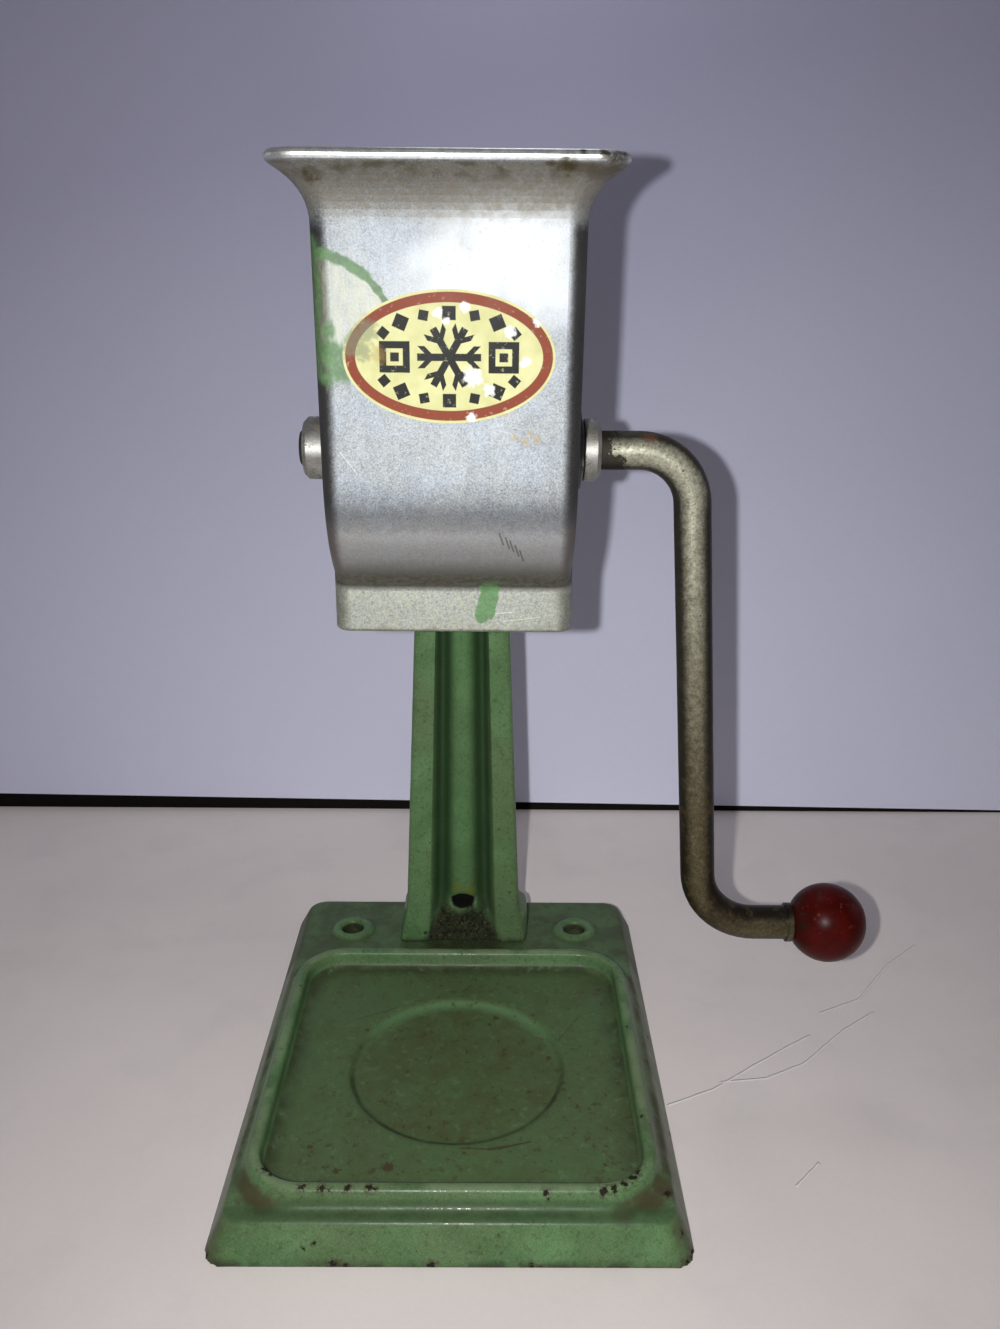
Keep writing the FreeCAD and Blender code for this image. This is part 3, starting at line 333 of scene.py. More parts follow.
FLOOR_SCRATCHES = [((2.0, -104.2, 9.5), (10.5, -104.6, 9.5), 0.5),
                   ((9.5, -104.6, 9.5), (14.5, -103.6, 9.5), 1.0),
                   ((14.0, -103.7, 9.5), (20.5, -101.8, 9.5), 0.7),
                   ((-32.0, -50.0, 9.4), (-20.0, -44.0, 9.4), 0.35),
                   ((30.0, -60.0, 9.4), (38.0, -47.0, 9.4), 0.35)]
LEDGE_STAINS = [(-50.5, -117.5, 10.5, 4.0), (-49.0, -121.5, 10.3, 3.8), (-46.5, -124.5, 10.0, 3.2),
                (43.5, -126.0, 10.0, 3.0), (48.5, -122.5, 10.3, 4.2), (53.0, -118.0, 10.0, 3.0)]
SPILLS = [(0.0, -11.5, 10.0, 8.0), (-8.0, -11.0, 10.0, 5.0), (8.0, -11.0, 10.0, 5.5)]
MOSS_TUFTS = [(2.6, -9.0, 30.6, 2.4), (-2.2, -9.0, 31.6, 2.0)]
RECESS_SHADE_R = 30.6          # round the recess in the tray; painted shade lies along the front of its edge
# A painted highlight lies along the back of the recess's edge, at this radius.
RECESS_HIGHLIGHT_R = 29.6
HOLE_STAIN_R = 7.8          # round a bench hole
DRAIN_SHADE_HALF = (4.0, 2.9)


def enamel_ground(name):
    """Green enamel brushed over a casting, with the tones, dirt and specks it has everywhere."""
    finish = Finish(name, Specular_IOR_Level=0.22, Coat_Roughness=0.16)
    broad = finish.noise(34.0, 3.0, 1.3)
    patchy = finish.noise(9.0, 4.0, 2.1)
    fine = finish.noise(1.1, 3.0, 3.7)
    color = finish.mix(patchy.step(0.32, 0.68), ENAMEL_DARK, ENAMEL_LIGHT)
    color = finish.mix(broad.step(0.40, 0.66) * 0.6, color, ENAMEL_DULL)
    color = finish.mix(fine.step(0.50, 0.72) * 0.45, color, GRIME_AND_SHADE)
    for seed, tone in ((15.0, WORN_EDGE), (16.0, GRIME_AND_SHADE)):
        dust = finish.noise(0.5, 2.0, seed, rough=0.8).step(0.48, 0.66)
        color = finish.mix(dust * 0.30, color, tone)
    specks = finish.specks(2.6, 0.20, 4.0, 0.16).most(finish.specks(1.3, 0.16, 5.0, 0.20))
    specks = specks * broad.step(0.36, 0.52)
    color = finish.mix(specks * 0.85, color, BARE_IRON_AND_SHADE)
    height = finish.noise(3.2, 3.0, 6.0) * 0.6 + finish.noise(0.55, 2.0, 7.0) * 0.14 - specks * 0.3
    gloss = patchy.step(0.3, 0.7) * 0.12 + 0.30 + specks * 0.4
    finish.broad, finish.patchy = broad, patchy
    return finish, color, height, gloss


def chipped(finish, color, height, gloss, chips, ragged):
    """Enamel knocked off down to dark iron, with a rusty broken edge round each chip."""
    bare = finish.spots([(x, y, z, r * 0.47) for x, y, z, r in chips], ragged * 2.2 - 0.6, 0.20)
    edge = finish.spots([(x, y, z, r * 0.90) for x, y, z, r in chips], ragged * 2.2 - 0.6, 0.25)
    color = finish.mix(edge * 0.5, color, RUST_BROWN)
    color = finish.mix(bare, color, BARE_IRON_AND_SHADE)
    return color, height - bare * 1.2, gloss + bare * 0.35


def base_enamel():
    """The base's enamel: dull and stained in the tray, chipped along the rim and skirt, with
    painted shade in the bench holes and along the recess's front edge and a painted highlight along
    its back edge.
    """
    finish, color, height, gloss = enamel_ground("green_enamel_base")
    ragged = finish.noise(0.9, 4.0, 8.0, rough=0.65)
    wide = finish.noise(6.0, 4.0, 9.0)
    rim_foot = finish.box_edge(RIM_FOOT_HALF, TRAY_Y, RIM_FOOT_CORNER_R)
    inside = finish.box_edge(TRAY_HALF, TRAY_Y, TRAY_CORNER_R)
    from_centre = finish.distance((0, TRAY_Y, RECESS_Z))
    low = finish.z.step(11.5, 9.6)
    on_floor = finish.z.step(11.2, 10.2) * inside.step(0.5, -0.5)

    dull_floor = on_floor * (0.45 + finish.patchy.step(0.35, 0.7) * 0.4)
    color = finish.mix(dull_floor, color, FLOOR_DULL)
    corner_dirt = inside.step(-7.0, 0.5) * on_floor * (0.25 + wide.step(0.35, 0.65) * 0.55)
    color = finish.mix(corner_dirt, color, GRIME_AND_SHADE)
    far = finish.y.step(TRAY_Y + 2.0, TRAY_Y + 24.0)
    # Painted shade along the front of the recess's edge, broken up by noise, and a painted
    # highlight along its back.
    ring = abs(from_centre - RECESS_SHADE_R).step(1.3, 0.2) * on_floor
    color = finish.mix(ring * (1 - far) * (0.25 + wide.step(0.4, 0.62) * 0.5), color, GRIME_AND_SHADE)
    recess_highlight = abs(from_centre - RECESS_HIGHLIGHT_R).step(2.8, 0.8) * on_floor
    color = finish.mix(recess_highlight * far * 0.55, color, RECESS_HIGHLIGHT)
    inner_dirt = from_centre.step(31.0, 27.0) * (0.15 + wide.step(0.38, 0.62) * 0.45)
    color = finish.mix(inner_dirt * on_floor, color, RECESS_DIRT)
    clots = finish.noise(2.2, 5.0, 17.0, rough=0.75).step(0.565, 0.62)
    clots = clots * finish.broad.step(0.30, 0.58)
    color = finish.mix(clots * on_floor * 0.72, color, RUST_BROWN)
    scuffed = finish.noise(3.0, 4.0, 18.0, rough=0.7).step(0.56, 0.66)
    color = finish.mix(scuffed * 0.30, color, SCUFFED_ENAMEL)
    foot_dirt = abs(rim_foot - 0.6).step(2.6, 0.3) * low * (0.25 + wide.step(0.42, 0.62) * 0.6)
    color = finish.mix(foot_dirt, color, GRIME_AND_SHADE)
    stains = finish.spots(LEDGE_STAINS, wide, 0.5) * finish.z.step(13.5, 11.0)
    color = finish.mix(stains * 0.80, color, LEDGE_STAIN)
    sides = abs(finish.x + 1.0).step(52.0, 57.5) * (0.25 + wide.step(0.36, 0.62) * 0.45)
    color = finish.mix(sides, color, SIDE_GRIME)
    hem = finish.z.step(2.6, 0.2) * (0.25 + wide.step(0.40, 0.60) * 0.65)
    color = finish.mix(hem, color, GRIME_AND_SHADE)
    crown = finish.z.step(14.2, 14.9) * finish.patchy.step(0.38, 0.58)
    color = finish.mix(crown * 0.35, color, WORN_EDGE)
    front_ledge = finish.y.step(-123.8, -125.4) * finish.z.step(13.4, 12.0)
    front_ledge = front_ledge * finish.z.step(8.8, 9.6)
    color = finish.mix(front_ledge * 0.60, color, LEDGE_SHADE)
    pinholes = finish.specks(3.1, 0.30, 21.0, 0.12) * on_floor
    color = finish.mix(pinholes * 0.85, color, BARE_IRON_AND_SHADE)
    for side_x in (-BENCH_HOLE_X, BENCH_HOLE_X):
        bore = ((finish.x - side_x) ** 2.0 + finish.y ** 2.0) ** 0.5
        # Painted shade: the inside of each bench hole is painted near black.
        hole = (bore + (ragged - 0.5) * 0.8).step(4.8, 4.0) * finish.z.step(10.6, 9.8)
        color = finish.mix(hole, color, HOLE_SHADE)
        gloss = gloss + hole * 0.6
        color = finish.mix(abs(bore - HOLE_STAIN_R).step(0.8, 0.1) * low * 0.5, color, GRIME_AND_SHADE)
    back_plate = finish.y.step(-21.0, -16.0) * low
    color = finish.mix(back_plate * (0.45 + wide.step(0.4, 0.65) * 0.45), color, PLATE_DUST)
    spill = finish.spots(SPILLS, wide, 0.5)
    color = finish.mix(spill * low * (0.55 + ragged.step(0.40, 0.60) * 0.4), color, SPILT_DIRT)
    marks = finish.spots(FLOOR_MARKS, ragged, 0.25)
    for start, stop, width in FLOOR_SCRATCHES:
        marks = marks.most(finish.stroke(start, stop, width, ragged))
    color = finish.mix(marks * 0.8, color, RUST_BROWN)
    color, height, gloss = chipped(finish, color, height, gloss, RIM_CHIPS + SKIRT_CHIPS, ragged)
    rough = gloss + on_floor * 0.10 + stains * 0.3 + foot_dirt * 0.3 + back_plate * 0.12
    worn_rim = finish.z.step(13.9, 14.7)
    worn_front = abs(finish.z - 9.6).step(0.9, 0.2) * finish.y.step(-128.0, -130.5)
    worn_foot = abs(finish.z - 10.6).step(0.8, 0.1) * abs(rim_foot).step(2.0, 0.5)
    worn = worn_rim.most(worn_front).most(worn_foot)
    glint = worn * finish.noise(1.1, 3.0, 19.0).step(0.46, 0.62) * 0.26
    return finish.feed(color, rough, coat=glint, height=height, depth=0.16)


def column_enamel():
    """The column's enamel: painted shade deep in the flutes and in the drain hole, with dirt heaped
    below the drain hole.
    """
    finish, color, height, gloss = enamel_ground("green_enamel_column")
    ragged = finish.noise(1.7, 3.0, 8.0)
    wide = finish.noise(5.0, 4.0, 9.0)
    front = finish.y.step(-7.0, -8.6)
    fluted = finish.z.step(150.0, 136.0) * abs(finish.x).step(13.0, 11.0)
    rib = abs(finish.x).step(8.0, 3.0) * fluted * finish.y.step(0.0, -2.0)
    color = finish.mix(rib * 0.34, color, RIB_GREEN)
    # Painted shade: the flutes are painted darker the deeper they go.
    flute_shade = finish.y.step(-9.1, -4.4) * fluted * finish.y.step(9.0, 3.0)
    color = finish.mix(flute_shade * 0.88, color, FLUTE_SHADE)
    heap = (abs(finish.x + finish.z * 0.02) + finish.z * 0.45).step(23.0, 14.0)
    heap = finish.z.step(35.0, 14.0) * heap
    dirt = (heap * 0.9 + wide * 0.8 - 0.55).step(0.1, 0.6) * finish.y.step(10.0, 2.0)
    color = finish.mix(dirt * 0.95, color, FOOT_DIRT)
    grit = finish.noise(1.0, 3.0, 22.0, rough=0.7).step(0.53, 0.62) * dirt
    color = finish.mix(grit * 0.6, color, PALE_GRIT)
    crumbs = finish.noise(1.5, 3.0, 12.0).step(0.52, 0.60) * dirt
    color = finish.mix(crumbs * 0.9, color, BARE_IRON_AND_SHADE)
    moss = finish.spots(MOSS_TUFTS, ragged, 0.5)
    color = finish.mix(moss * 0.85, color, MOSS)
    edge_nicks = finish.specks(4.0, 0.22, 14.0, 0.24) * abs(finish.x).step(11.0, 13.0) * front
    color = finish.mix(edge_nicks * 0.8, color, BARE_IRON_AND_SHADE)
    # Painted shade: the drain hole and a narrow rim round it are painted near black.
    half_x, half_z = DRAIN_SHADE_HALF
    drain = ((finish.x / half_x) ** 2.0 + ((finish.z - DRAIN_Z) / half_z) ** 2.0) ** 0.5
    drain = (drain + (ragged - 0.5) * 0.5).step(1.15, 0.85) * finish.y.step(0.0, -2.0)
    color = finish.mix(drain, color, DRAIN_SHADE)
    foot = finish.z.step(13.5, 10.2) * (0.3 + wide.step(0.4, 0.6) * 0.6)
    color = finish.mix(foot, color, GRIME_AND_SHADE)
    height = height + crumbs * 1.5 - edge_nicks * 0.6
    rough = gloss + dirt * 0.45 + foot * 0.3 + drain * 0.6
    return finish.feed(color, rough, height=height, depth=0.16)


CAST_DARK = (0.086, 0.091, 0.099)
CAST_LIGHT = (0.71, 0.757, 0.815)
WARM_CAST = (1.0, 0.98, 0.92)
COOL_CAST = (0.955, 0.985, 1.0)
FACE_HIGHLIGHT = (0.66, 0.68, 0.70)
PEPPER = (0.36, 0.34, 0.28)
CORNER_REFLECTION_DARK = (0.040, 0.034, 0.031)
FLANK_DARK = (0.10, 0.095, 0.10)
CLOUDED = (0.13, 0.13, 0.14)
BELLY_BROWN = (0.36, 0.32, 0.29)
TARNISH = (0.26, 0.235, 0.185)
LIP_DIRT = (0.11, 0.092, 0.055)
LIP_HIGHLIGHT = (0.92, 0.92, 0.91)
CREASE_DARK = (0.105, 0.098, 0.060)
SPOUT_LIGHT = (0.60, 0.62, 0.42)
SPOUT_DARK = (0.12, 0.12, 0.11)
SPOUT_SOIL = (0.22, 0.205, 0.125)
DRIP_BROWN = (0.080, 0.055, 0.018)
FACE_OCHRE = (0.34, 0.25, 0.09)
CLAW_DARK = (0.12, 0.11, 0.10)
SCRATCH_BRIGHT = (0.90, 0.90, 0.88)
PIT_DARK = (0.08, 0.07, 0.06)
PAINT_FILM = (0.54, 0.55, 0.40)
SMEAR_DARK = (0.080, 0.180, 0.062)
SMEAR_LIGHT = (0.125, 0.270, 0.098)
SMEAR_DIRT = (0.048, 0.085, 0.036)

FACE_Y = -97.0              # the hopper's front face
SPOUT_Y = -81.5
FACE_SCRATCHES = [((-24.0, FACE_Y, 192.0), (-20.5, FACE_Y, 187.4), 0.16),
                  ((-9.0, -96.6, 188.0), (-6.0, -96.6, 181.0), 0.14),
                  ((2.0, FACE_Y, 231.0), (14.0, FACE_Y, 232.2), 0.14),
                  ((6.0, SPOUT_Y, 150.5), (15.0, SPOUT_Y, 151.3), 0.22),
                  ((12.0, SPOUT_Y, 148.9), (21.0, SPOUT_Y, 150.0), 0.18)]
CLAW_MARKS = ((11.0, 172.4), (12.4, 171.4), (13.4, 170.6), (14.6, 169.4), (15.7, 168.0))
FACE_HIGHLIGHT_SPOTS = [(13.0, 232.0, 15.0), (6.0, 227.0, 12.0)]
FACE_STAINS = [(19.0, 195.0, 0.9), (14.0, 195.4, 0.8), (12.0, 200.4, 0.7), (16.5, 194.6, 0.8),
               (17.6, 196.6, 0.6)]
LIP_DRIPS = [(23.7, -104.0, 248.8, 1.9), (23.9, -102.6, 246.4, 1.6), (24.0, -100.6, 244.0, 1.2),
             (33.6, -105.0, 249.6, 1.8), (35.8, -103.8, 251.0, 2.0), (-27.5, -101.5, 246.0, 2.0),
             (31.0, -104.8, 251.6, 1.0), (26.6, -104.8, 251.8, 0.8), (20.6, -104.4, 249.2, 1.0)]
SMEAR_ARC = [(-28.9, -91.0, 232.6), (-26.0, FACE_Y, 232.6), (-21.4, FACE_Y, 231.2),
             (-17.3, FACE_Y, 228.4), (-14.7, FACE_Y, 225.4), (-12.9, FACE_Y, 222.8)]
SMEAR_WIDTHS = (2.6, 2.2, 1.9, 1.5, 1.2)
SMEAR_PATCHES = [(-25.6, 212.6, 3.6), (-23.2, 209.8, 3.0), (-26.0, 217.0, 2.2), (-26.6, 207.6, 2.0)]


def on_face(y, places):
    """Spots on a face that looks along Y, from an (x, z, radius) for each."""
    return [(x, y, z, radius) for x, z, radius in places]


def belly_y(z):
    """Where the hopper's round belly has its front at a height."""
    return SHAFT_Y - math.sqrt(BELLY_R ** 2 - (BELLY_Z - z) ** 2)


def cast_aluminium():
    """Satin cast aluminium with a frosty grain, tarnish under the lip and green paint smears,
    painted dark reflections down the corners and painted highlights on the face and lip.
    """
    finish = Finish("cast_aluminium", Metallic=1.0)
    broad = finish.noise(22.0, 3.0, 1.0)
    cloud = finish.noise(5.0, 5.0, 2.0, rough=0.65)
    grain = finish.noise(0.36, 2.0, 3.0, rough=0.8)
    coarse = finish.noise(1.5, 4.0, 8.0, rough=0.7)
    ragged = finish.noise(2.2, 4.0, 4.0)
    front = finish.y.step(-84.0, -91.0)
    mouth = finish.z.step(158.0, 156.4)
    edge_z = finish.z + (coarse - 0.5) * 5.0
    above = edge_z.step(237.6, 243.6) * finish.z.step(250.2, 249.4)
    belly = edge_z.step(178.5, 171.5) * (1 - mouth)
    strength = 1 + mouth * 0.5 + above * 0.3

    brushed = finish.noise(1.6, 3.0, 9.0, stretch=(1.0, 1.0, 0.2))
    shade = (grain - 0.5) * 1.25 + (coarse - 0.5) * 0.12
    shade = shade + (cloud - 0.5) * 0.22 + (brushed - 0.5) * 0.16
    shade = (shade * strength + 0.365 + mouth * 0.15 + belly * 0.42).most(0.0).least(1.0)
    color = finish.mix(shade, CAST_DARK, CAST_LIGHT)
    hue = finish.noise(0.55, 3.0, 11.0).step(0.38, 0.62) * 0.5
    hue = hue + finish.noise(11.0, 4.0, 12.0).step(0.40, 0.60) * 0.5
    color = finish.mix(1.0, color, finish.mix(hue, WARM_CAST, COOL_CAST), "MULTIPLY")
    # Painted highlight: a paler patch high on the face, right of centre, where it mirrors the front
    # lamp.
    face_highlight = finish.spots(on_face(FACE_Y, FACE_HIGHLIGHT_SPOTS), broad, 0.6)
    color = finish.mix(face_highlight * 0.45, color, FACE_HIGHLIGHT)
    peppered = finish.noise(0.8, 4.0, 15.0, rough=0.7).step(0.56, 0.64)
    peppered = peppered * face_highlight * finish.z.step(224.0, 230.0)
    color = finish.mix(peppered * 0.55, color, PEPPER)
    # Painted reflection: dark bands down the face's rounded corners stand for the dark room they
    # mirror.
    reach = abs(finish.x) + (coarse - 0.5) * 1.5 + 0.6
    corner_reflection = reach.step(25.2, 27.5) * front * edge_z.step(241.0, 237.0)
    color = finish.mix(corner_reflection * 0.86, color, CORNER_REFLECTION_DARK)
    flank = finish.y.step(-96.0, -92.0) * finish.z.step(242.0, 238.0)
    color = finish.mix(flank * 0.35, color, FLANK_DARK)
    cloudy = edge_z.step(172.2, 175.4) * edge_z.step(182.2, 177.6)
    color = finish.mix(cloudy * 0.42, color, CLOUDED)
    color = finish.mix(belly * 0.35, color, BELLY_BROWN)
    tarnish = above * (0.50 + coarse.step(0.35, 0.65) * 0.40)
    color = finish.mix(tarnish, color, TARNISH)
    grubby = above * finish.z.step(245.0, 249.0) * cloud.step(0.42, 0.60)
    color = finish.mix(grubby * 0.75, color, LIP_DIRT)
    # The lip is polished, and its paler colour is also a painted highlight.
    lip = finish.z.step(249.8, 250.6)
    color = finish.mix(lip * (0.68 + coarse.step(0.40, 0.60) * 0.3), color, LIP_HIGHLIGHT)
    # Darker in the crease above the spout.
    crease = edge_z.step(168.0, 160.4) * finish.z.step(156.4, 158.2)
    color = finish.mix(crease * (0.65 + coarse.step(0.35, 0.65) * 0.3), color, CREASE_DARK)
    flecks = finish.noise(0.55, 4.0, 14.0, rough=0.7)
    color = finish.mix(mouth * (0.20 + flecks.step(0.46, 0.60) * 0.30), color, SPOUT_LIGHT)
    color = finish.mix(mouth * flecks.step(0.44, 0.36) * 0.25, color, SPOUT_DARK)
    rim = finish.z.step(151.0, 146.5).most(abs(finish.x).step(20.0, 28.0))
    soiled = cloud.step(0.46, 0.62) * mouth * rim
    color = finish.mix(soiled * 0.45, color, SPOUT_SOIL)
    drip = finish.spots(LIP_DRIPS, coarse, 0.6)
    color = finish.mix(drip * 0.86, color, DRIP_BROWN)
    stain = finish.spots(on_face(FACE_Y, FACE_STAINS), coarse, 0.8)
    color = finish.mix(stain * 0.5, color, FACE_OCHRE)
    marks = union(finish.stroke((x, belly_y(z + 1.2), z + 1.2),
                                (x + 0.9, belly_y(z - 1.6), z - 1.6), 0.40)
                  for x, z in CLAW_MARKS)
    color = finish.mix(marks * 0.7, color, CLAW_DARK)
    for start, stop, width in FACE_SCRATCHES:
        color = finish.mix(finish.stroke(start, stop, width, ragged) * 0.4, color, SCRATCH_BRIGHT)
    pits = finish.specks(3.4, 0.12, 6.0, 0.10)
    color = finish.mix(pits * 0.8, color, PIT_DARK)

    streak = finish.noise(1.3, 3.0, 7.0, stretch=(1.0, 1.0, 0.3))
    arc = union(finish.stroke(start, stop, width, ragged, 0.35)
                for start, stop, width in zip(SMEAR_ARC, SMEAR_ARC[1:], SMEAR_WIDTHS))
    band = finish.stroke((-29.0, -94.4, 234.0), (-28.6, -94.4, 209.5), 5.2, streak, 0.6)
    patch = finish.spots(on_face(FACE_Y, SMEAR_PATCHES), streak, 0.5)
    film = (finish.distance((-31.0, FACE_Y, 211.0)) + ragged * 2.0).step(24.0, 22.0)
    film = film * finish.z.step(205.0, 214.0) * finish.x.step(-12.0, -16.0)
    film = film * finish.y.step(-85.0, -91.0) * (0.22 + streak.step(0.35, 0.7) * 0.30)
    blob = finish.stroke((8.9, SPOUT_Y, 157.2), (8.0, SPOUT_Y, 151.6), 4.4,
                         ragged * 0.7 + 0.15, 0.12)
    blob = blob.most(finish.spots([(7.0, SPOUT_Y, 150.0, 1.7)], ragged * 0.6 + 0.2, 0.15))
    wash = finish.spots([(8.8, -82.5, 158.8, 2.4), (9.6, -84.0, 161.0, 1.6)], coarse, 0.7) * 0.4
    wet = finish.noise(0.9, 3.0, 13.0)
    opaque = (arc * 0.85).most(band * 0.92).most(patch * 0.86).most(blob * 0.97)
    opaque = opaque * (0.86 + wet * 0.25)
    color = finish.mix(film, color, PAINT_FILM)
    green = finish.mix(wet.step(0.35, 0.65), SMEAR_DARK, SMEAR_LIGHT)
    color = finish.mix(opaque.most(wash), color, green)
    color = finish.mix(band * (0.35 + streak.step(0.40, 0.62) * 0.5), color, SMEAR_DIRT)
    painted = opaque.most(wash).most(film * 0.5)
    metallic = (0.76 - painted - tarnish * 0.15 + lip * 0.12).most(0.0)
    rough = 0.575 + (grain - 0.5) * 0.25 + broad.step(0.3, 0.7) * 0.04 - lip * 0.18 + tarnish * 0.06
    height = grain * 0.6 + coarse * 0.5 + painted * 0.6 - pits * 0.8
    return finish.feed(color, rough, metallic, height=height, depth=0.06)


ROD_GREY_DARK = (0.09, 0.085, 0.055)
ROD_GREY_LIGHT = (0.76, 0.745, 0.58)
ROD_BROWN_DARK = (0.018, 0.014, 0.006)
ROD_BROWN_LIGHT = (0.165, 0.135, 0.070)
ROD_SIDE_SHADE = (0.014, 0.010, 0.007)
ROD_RUST = (0.075, 0.050, 0.022)
ROD_PIT = (0.030, 0.022, 0.014)
ROD_FLAKE = (0.012, 0.008, 0.005)
ROD_END = (0.030, 0.026, 0.022)
COPPER = (0.26, 0.115, 0.06)

COPPER_SPOTS = [(56.0, -68.0, 191.6, 2.2), (60.0, -67.4, 188.9, 1.9), (48.0, -67.5, 192.2, 2.0),
                (64.5, -67.0, 182.5, 1.2), (52.0, -68.0, 192.0, 1.4)]


def worn_steel():
    """Old plated rod, brighter at the shaft partly from painted light, brown and pitted down the
    arm, with painted shade down its sides.
    """
    finish = Finish("worn_steel", Specular_IOR_Level=0.25)
    cloud = finish.noise(5.0, 4.0, 1.0)
    grain = finish.noise(0.55, 2.0, 2.0, rough=0.8)
    coarse = finish.noise(1.3, 4.0, 7.0, rough=0.7)
    down = finish.z.step(170.0, 60.0)
    # Lighter towards the top: partly grey plating kept there, partly painted light, as the top is
    # nearer the lamp.
    level = finish.z.step(40.0, 195.0) ** 2.0
    lit_band = (abs(finish.y - SHAFT_Y) + (coarse - 0.5) * 1.2).step(2.8, 4.8)
    shade = (grain - 0.5) * 1.2 + (coarse - 0.5) * 0.7 + (cloud - 0.5) * 0.3 + 0.50
    shade = shade.most(0.0).least(1.0)
    bright = finish.mix(shade, ROD_GREY_DARK, ROD_GREY_LIGHT)
    brown = finish.mix(shade, ROD_BROWN_DARK, ROD_BROWN_LIGHT)
    color = finish.mix(level + (coarse - 0.5) * 0.25, brown, bright)
    # Painted shade: the rod's sides are painted dark, leaving a lit band down its front and back.
    color = finish.mix((1 - lit_band) * 0.92, color, ROD_SIDE_SHADE)
    # Painted shade: the arm's right side, turned from the front lamp, is painted darker.
    right = (finish.x + finish.z * 0.0776 - 73.2).step(0.6, 3.2)
    right = right * finish.z.step(52.0, 62.0) * finish.z.step(182.0, 172.0)
    color = finish.mix(right * 0.8, color, BARE_IRON_AND_SHADE)
    rust = finish.noise(2.6, 5.0, 4.0, rough=0.65).step(0.52, 0.64) * (down * 0.6 + 0.15)
    color = finish.mix(rust, color, ROD_RUST)
    pits = finish.specks(1.7, 0.30, 5.0, 0.17).most(finish.specks(0.9, 0.22, 6.0, 0.2))
    color = finish.mix(pits * 0.85, color, ROD_PIT)
    under = (finish.z - SHAFT_Z).step(0.5, -4.0)
    flaking = coarse + finish.x.step(38.6, 36.2) * 0.12 + under * 0.20 - 0.06
    flaking = (finish.x.step(50.0, 37.0) * flaking).step(0.38, 0.44)
    color = finish.mix(flaking * 0.95, color, ROD_FLAKE)
    end = finish.x.step(-36.0, -37.4)
    color = finish.mix(end * 0.9, color, ROD_END)
    copper = finish.spots(COPPER_SPOTS, coarse, 0.5)
    color = finish.mix(copper * 0.45, color, COPPER)
    rough = 0.36 + (grain - 0.5) * 0.25 + cloud * 0.08 + rust * 0.2 + pits * 0.2 + flaking * 0.3
    metallic = (0.45 - rust * 0.4 - flaking * 0.5 - pits * 0.4).most(0.0)
    height = grain * 0.6 + coarse * 0.6 - pits * 1.0 - flaking * 0.6
    return finish.feed(color, rough, metallic, height=height, depth=0.06)


TURNED_DARK = (0.34, 0.335, 0.31)
TURNED_LIGHT = (0.52, 0.52, 0.50)
TURNED_GRAIN = (0.20, 0.19, 0.15)
TURNED_RINGS = (0.26, 0.25, 0.21)
COLLAR_RUST = (0.13, 0.075, 0.035)


def turned_steel():
    """Bright turned collars with fine rings and a little rust."""
    finish = Finish("turned_steel", Metallic=1.0)
    radius = ((finish.y - SHAFT_Y) ** 2.0 + (finish.z - SHAFT_Z) ** 2.0) ** 0.5
    cloud = finish.noise(3.0, 4.0, 1.0)
    rings = finish.node("ShaderNodeTexNoise", {"noise_dimensions": "1D"},
                        {"W": radius * 0.4 + finish.x * 2.2, "Scale": 3.0, "Detail": 2.0})
    grain = finish.noise(0.5, 2.0, 5.0, rough=0.8)
    color = finish.mix(cloud.step(0.3, 0.7), TURNED_DARK, TURNED_LIGHT)
    color = finish.mix(grain.step(0.60, 0.40) * 0.4, color, TURNED_GRAIN)
    color = finish.mix(rings.step(0.45, 0.60) * 0.25, color, TURNED_RINGS)
    rust = finish.noise(1.6, 4.0, 4.0).step(0.56, 0.66)
    color = finish.mix(rust * 0.7, color, COLLAR_RUST)
    rough = 0.40 + cloud * 0.14 + rust * 0.3
    height = rings * 0.4 + cloud * 0.4 + rust * 0.6
    return finish.feed(color, rough, 0.75 - rust * 0.4, height=height, depth=0.04)


STAINED_SHARE = 0.6


def plain_metal(name, light, dark, stain, rough, size=1.8):
    """Worn metal for the small and inner parts: two tones, stains and a fine tool grain."""
    finish = Finish(name, Metallic=1.0)
    cloud = finish.noise(size * 2.0, 4.0, 1.0)
    grain = finish.noise(size * 0.22, 2.0, 2.0)
    spots = finish.noise(size, 5.0, 3.0).step(0.54, 0.66)
    color = finish.mix(cloud.step(0.3, 0.7), dark, light)
    color = finish.mix(spots * STAINED_SHARE, color, stain)
    height = grain * 0.5 + cloud * 0.4 - spots * 0.3
    return finish.feed(color, grain * 0.14 + rough + spots * 0.25, 1 - spots * STAINED_SHARE * 0.6,
                       height=height, depth=0.05)


LACQUER_DARK = (0.040, 0.0026, 0.0018)
LACQUER_LIGHT = (0.066, 0.0040, 0.0028)
LACQUER_SCUFF = (0.20, 0.075, 0.055)
KNOB_DIRT = (0.020, 0.008, 0.006)

KNOB_GRAZES = ((112.6, 58.6, 5.0), (114.2, 55.4, 4.0), (113.0, 52.0, 5.2), (104.0, 46.4, 4.4),
               (99.4, 60.0, 3.4))       # x, z and length


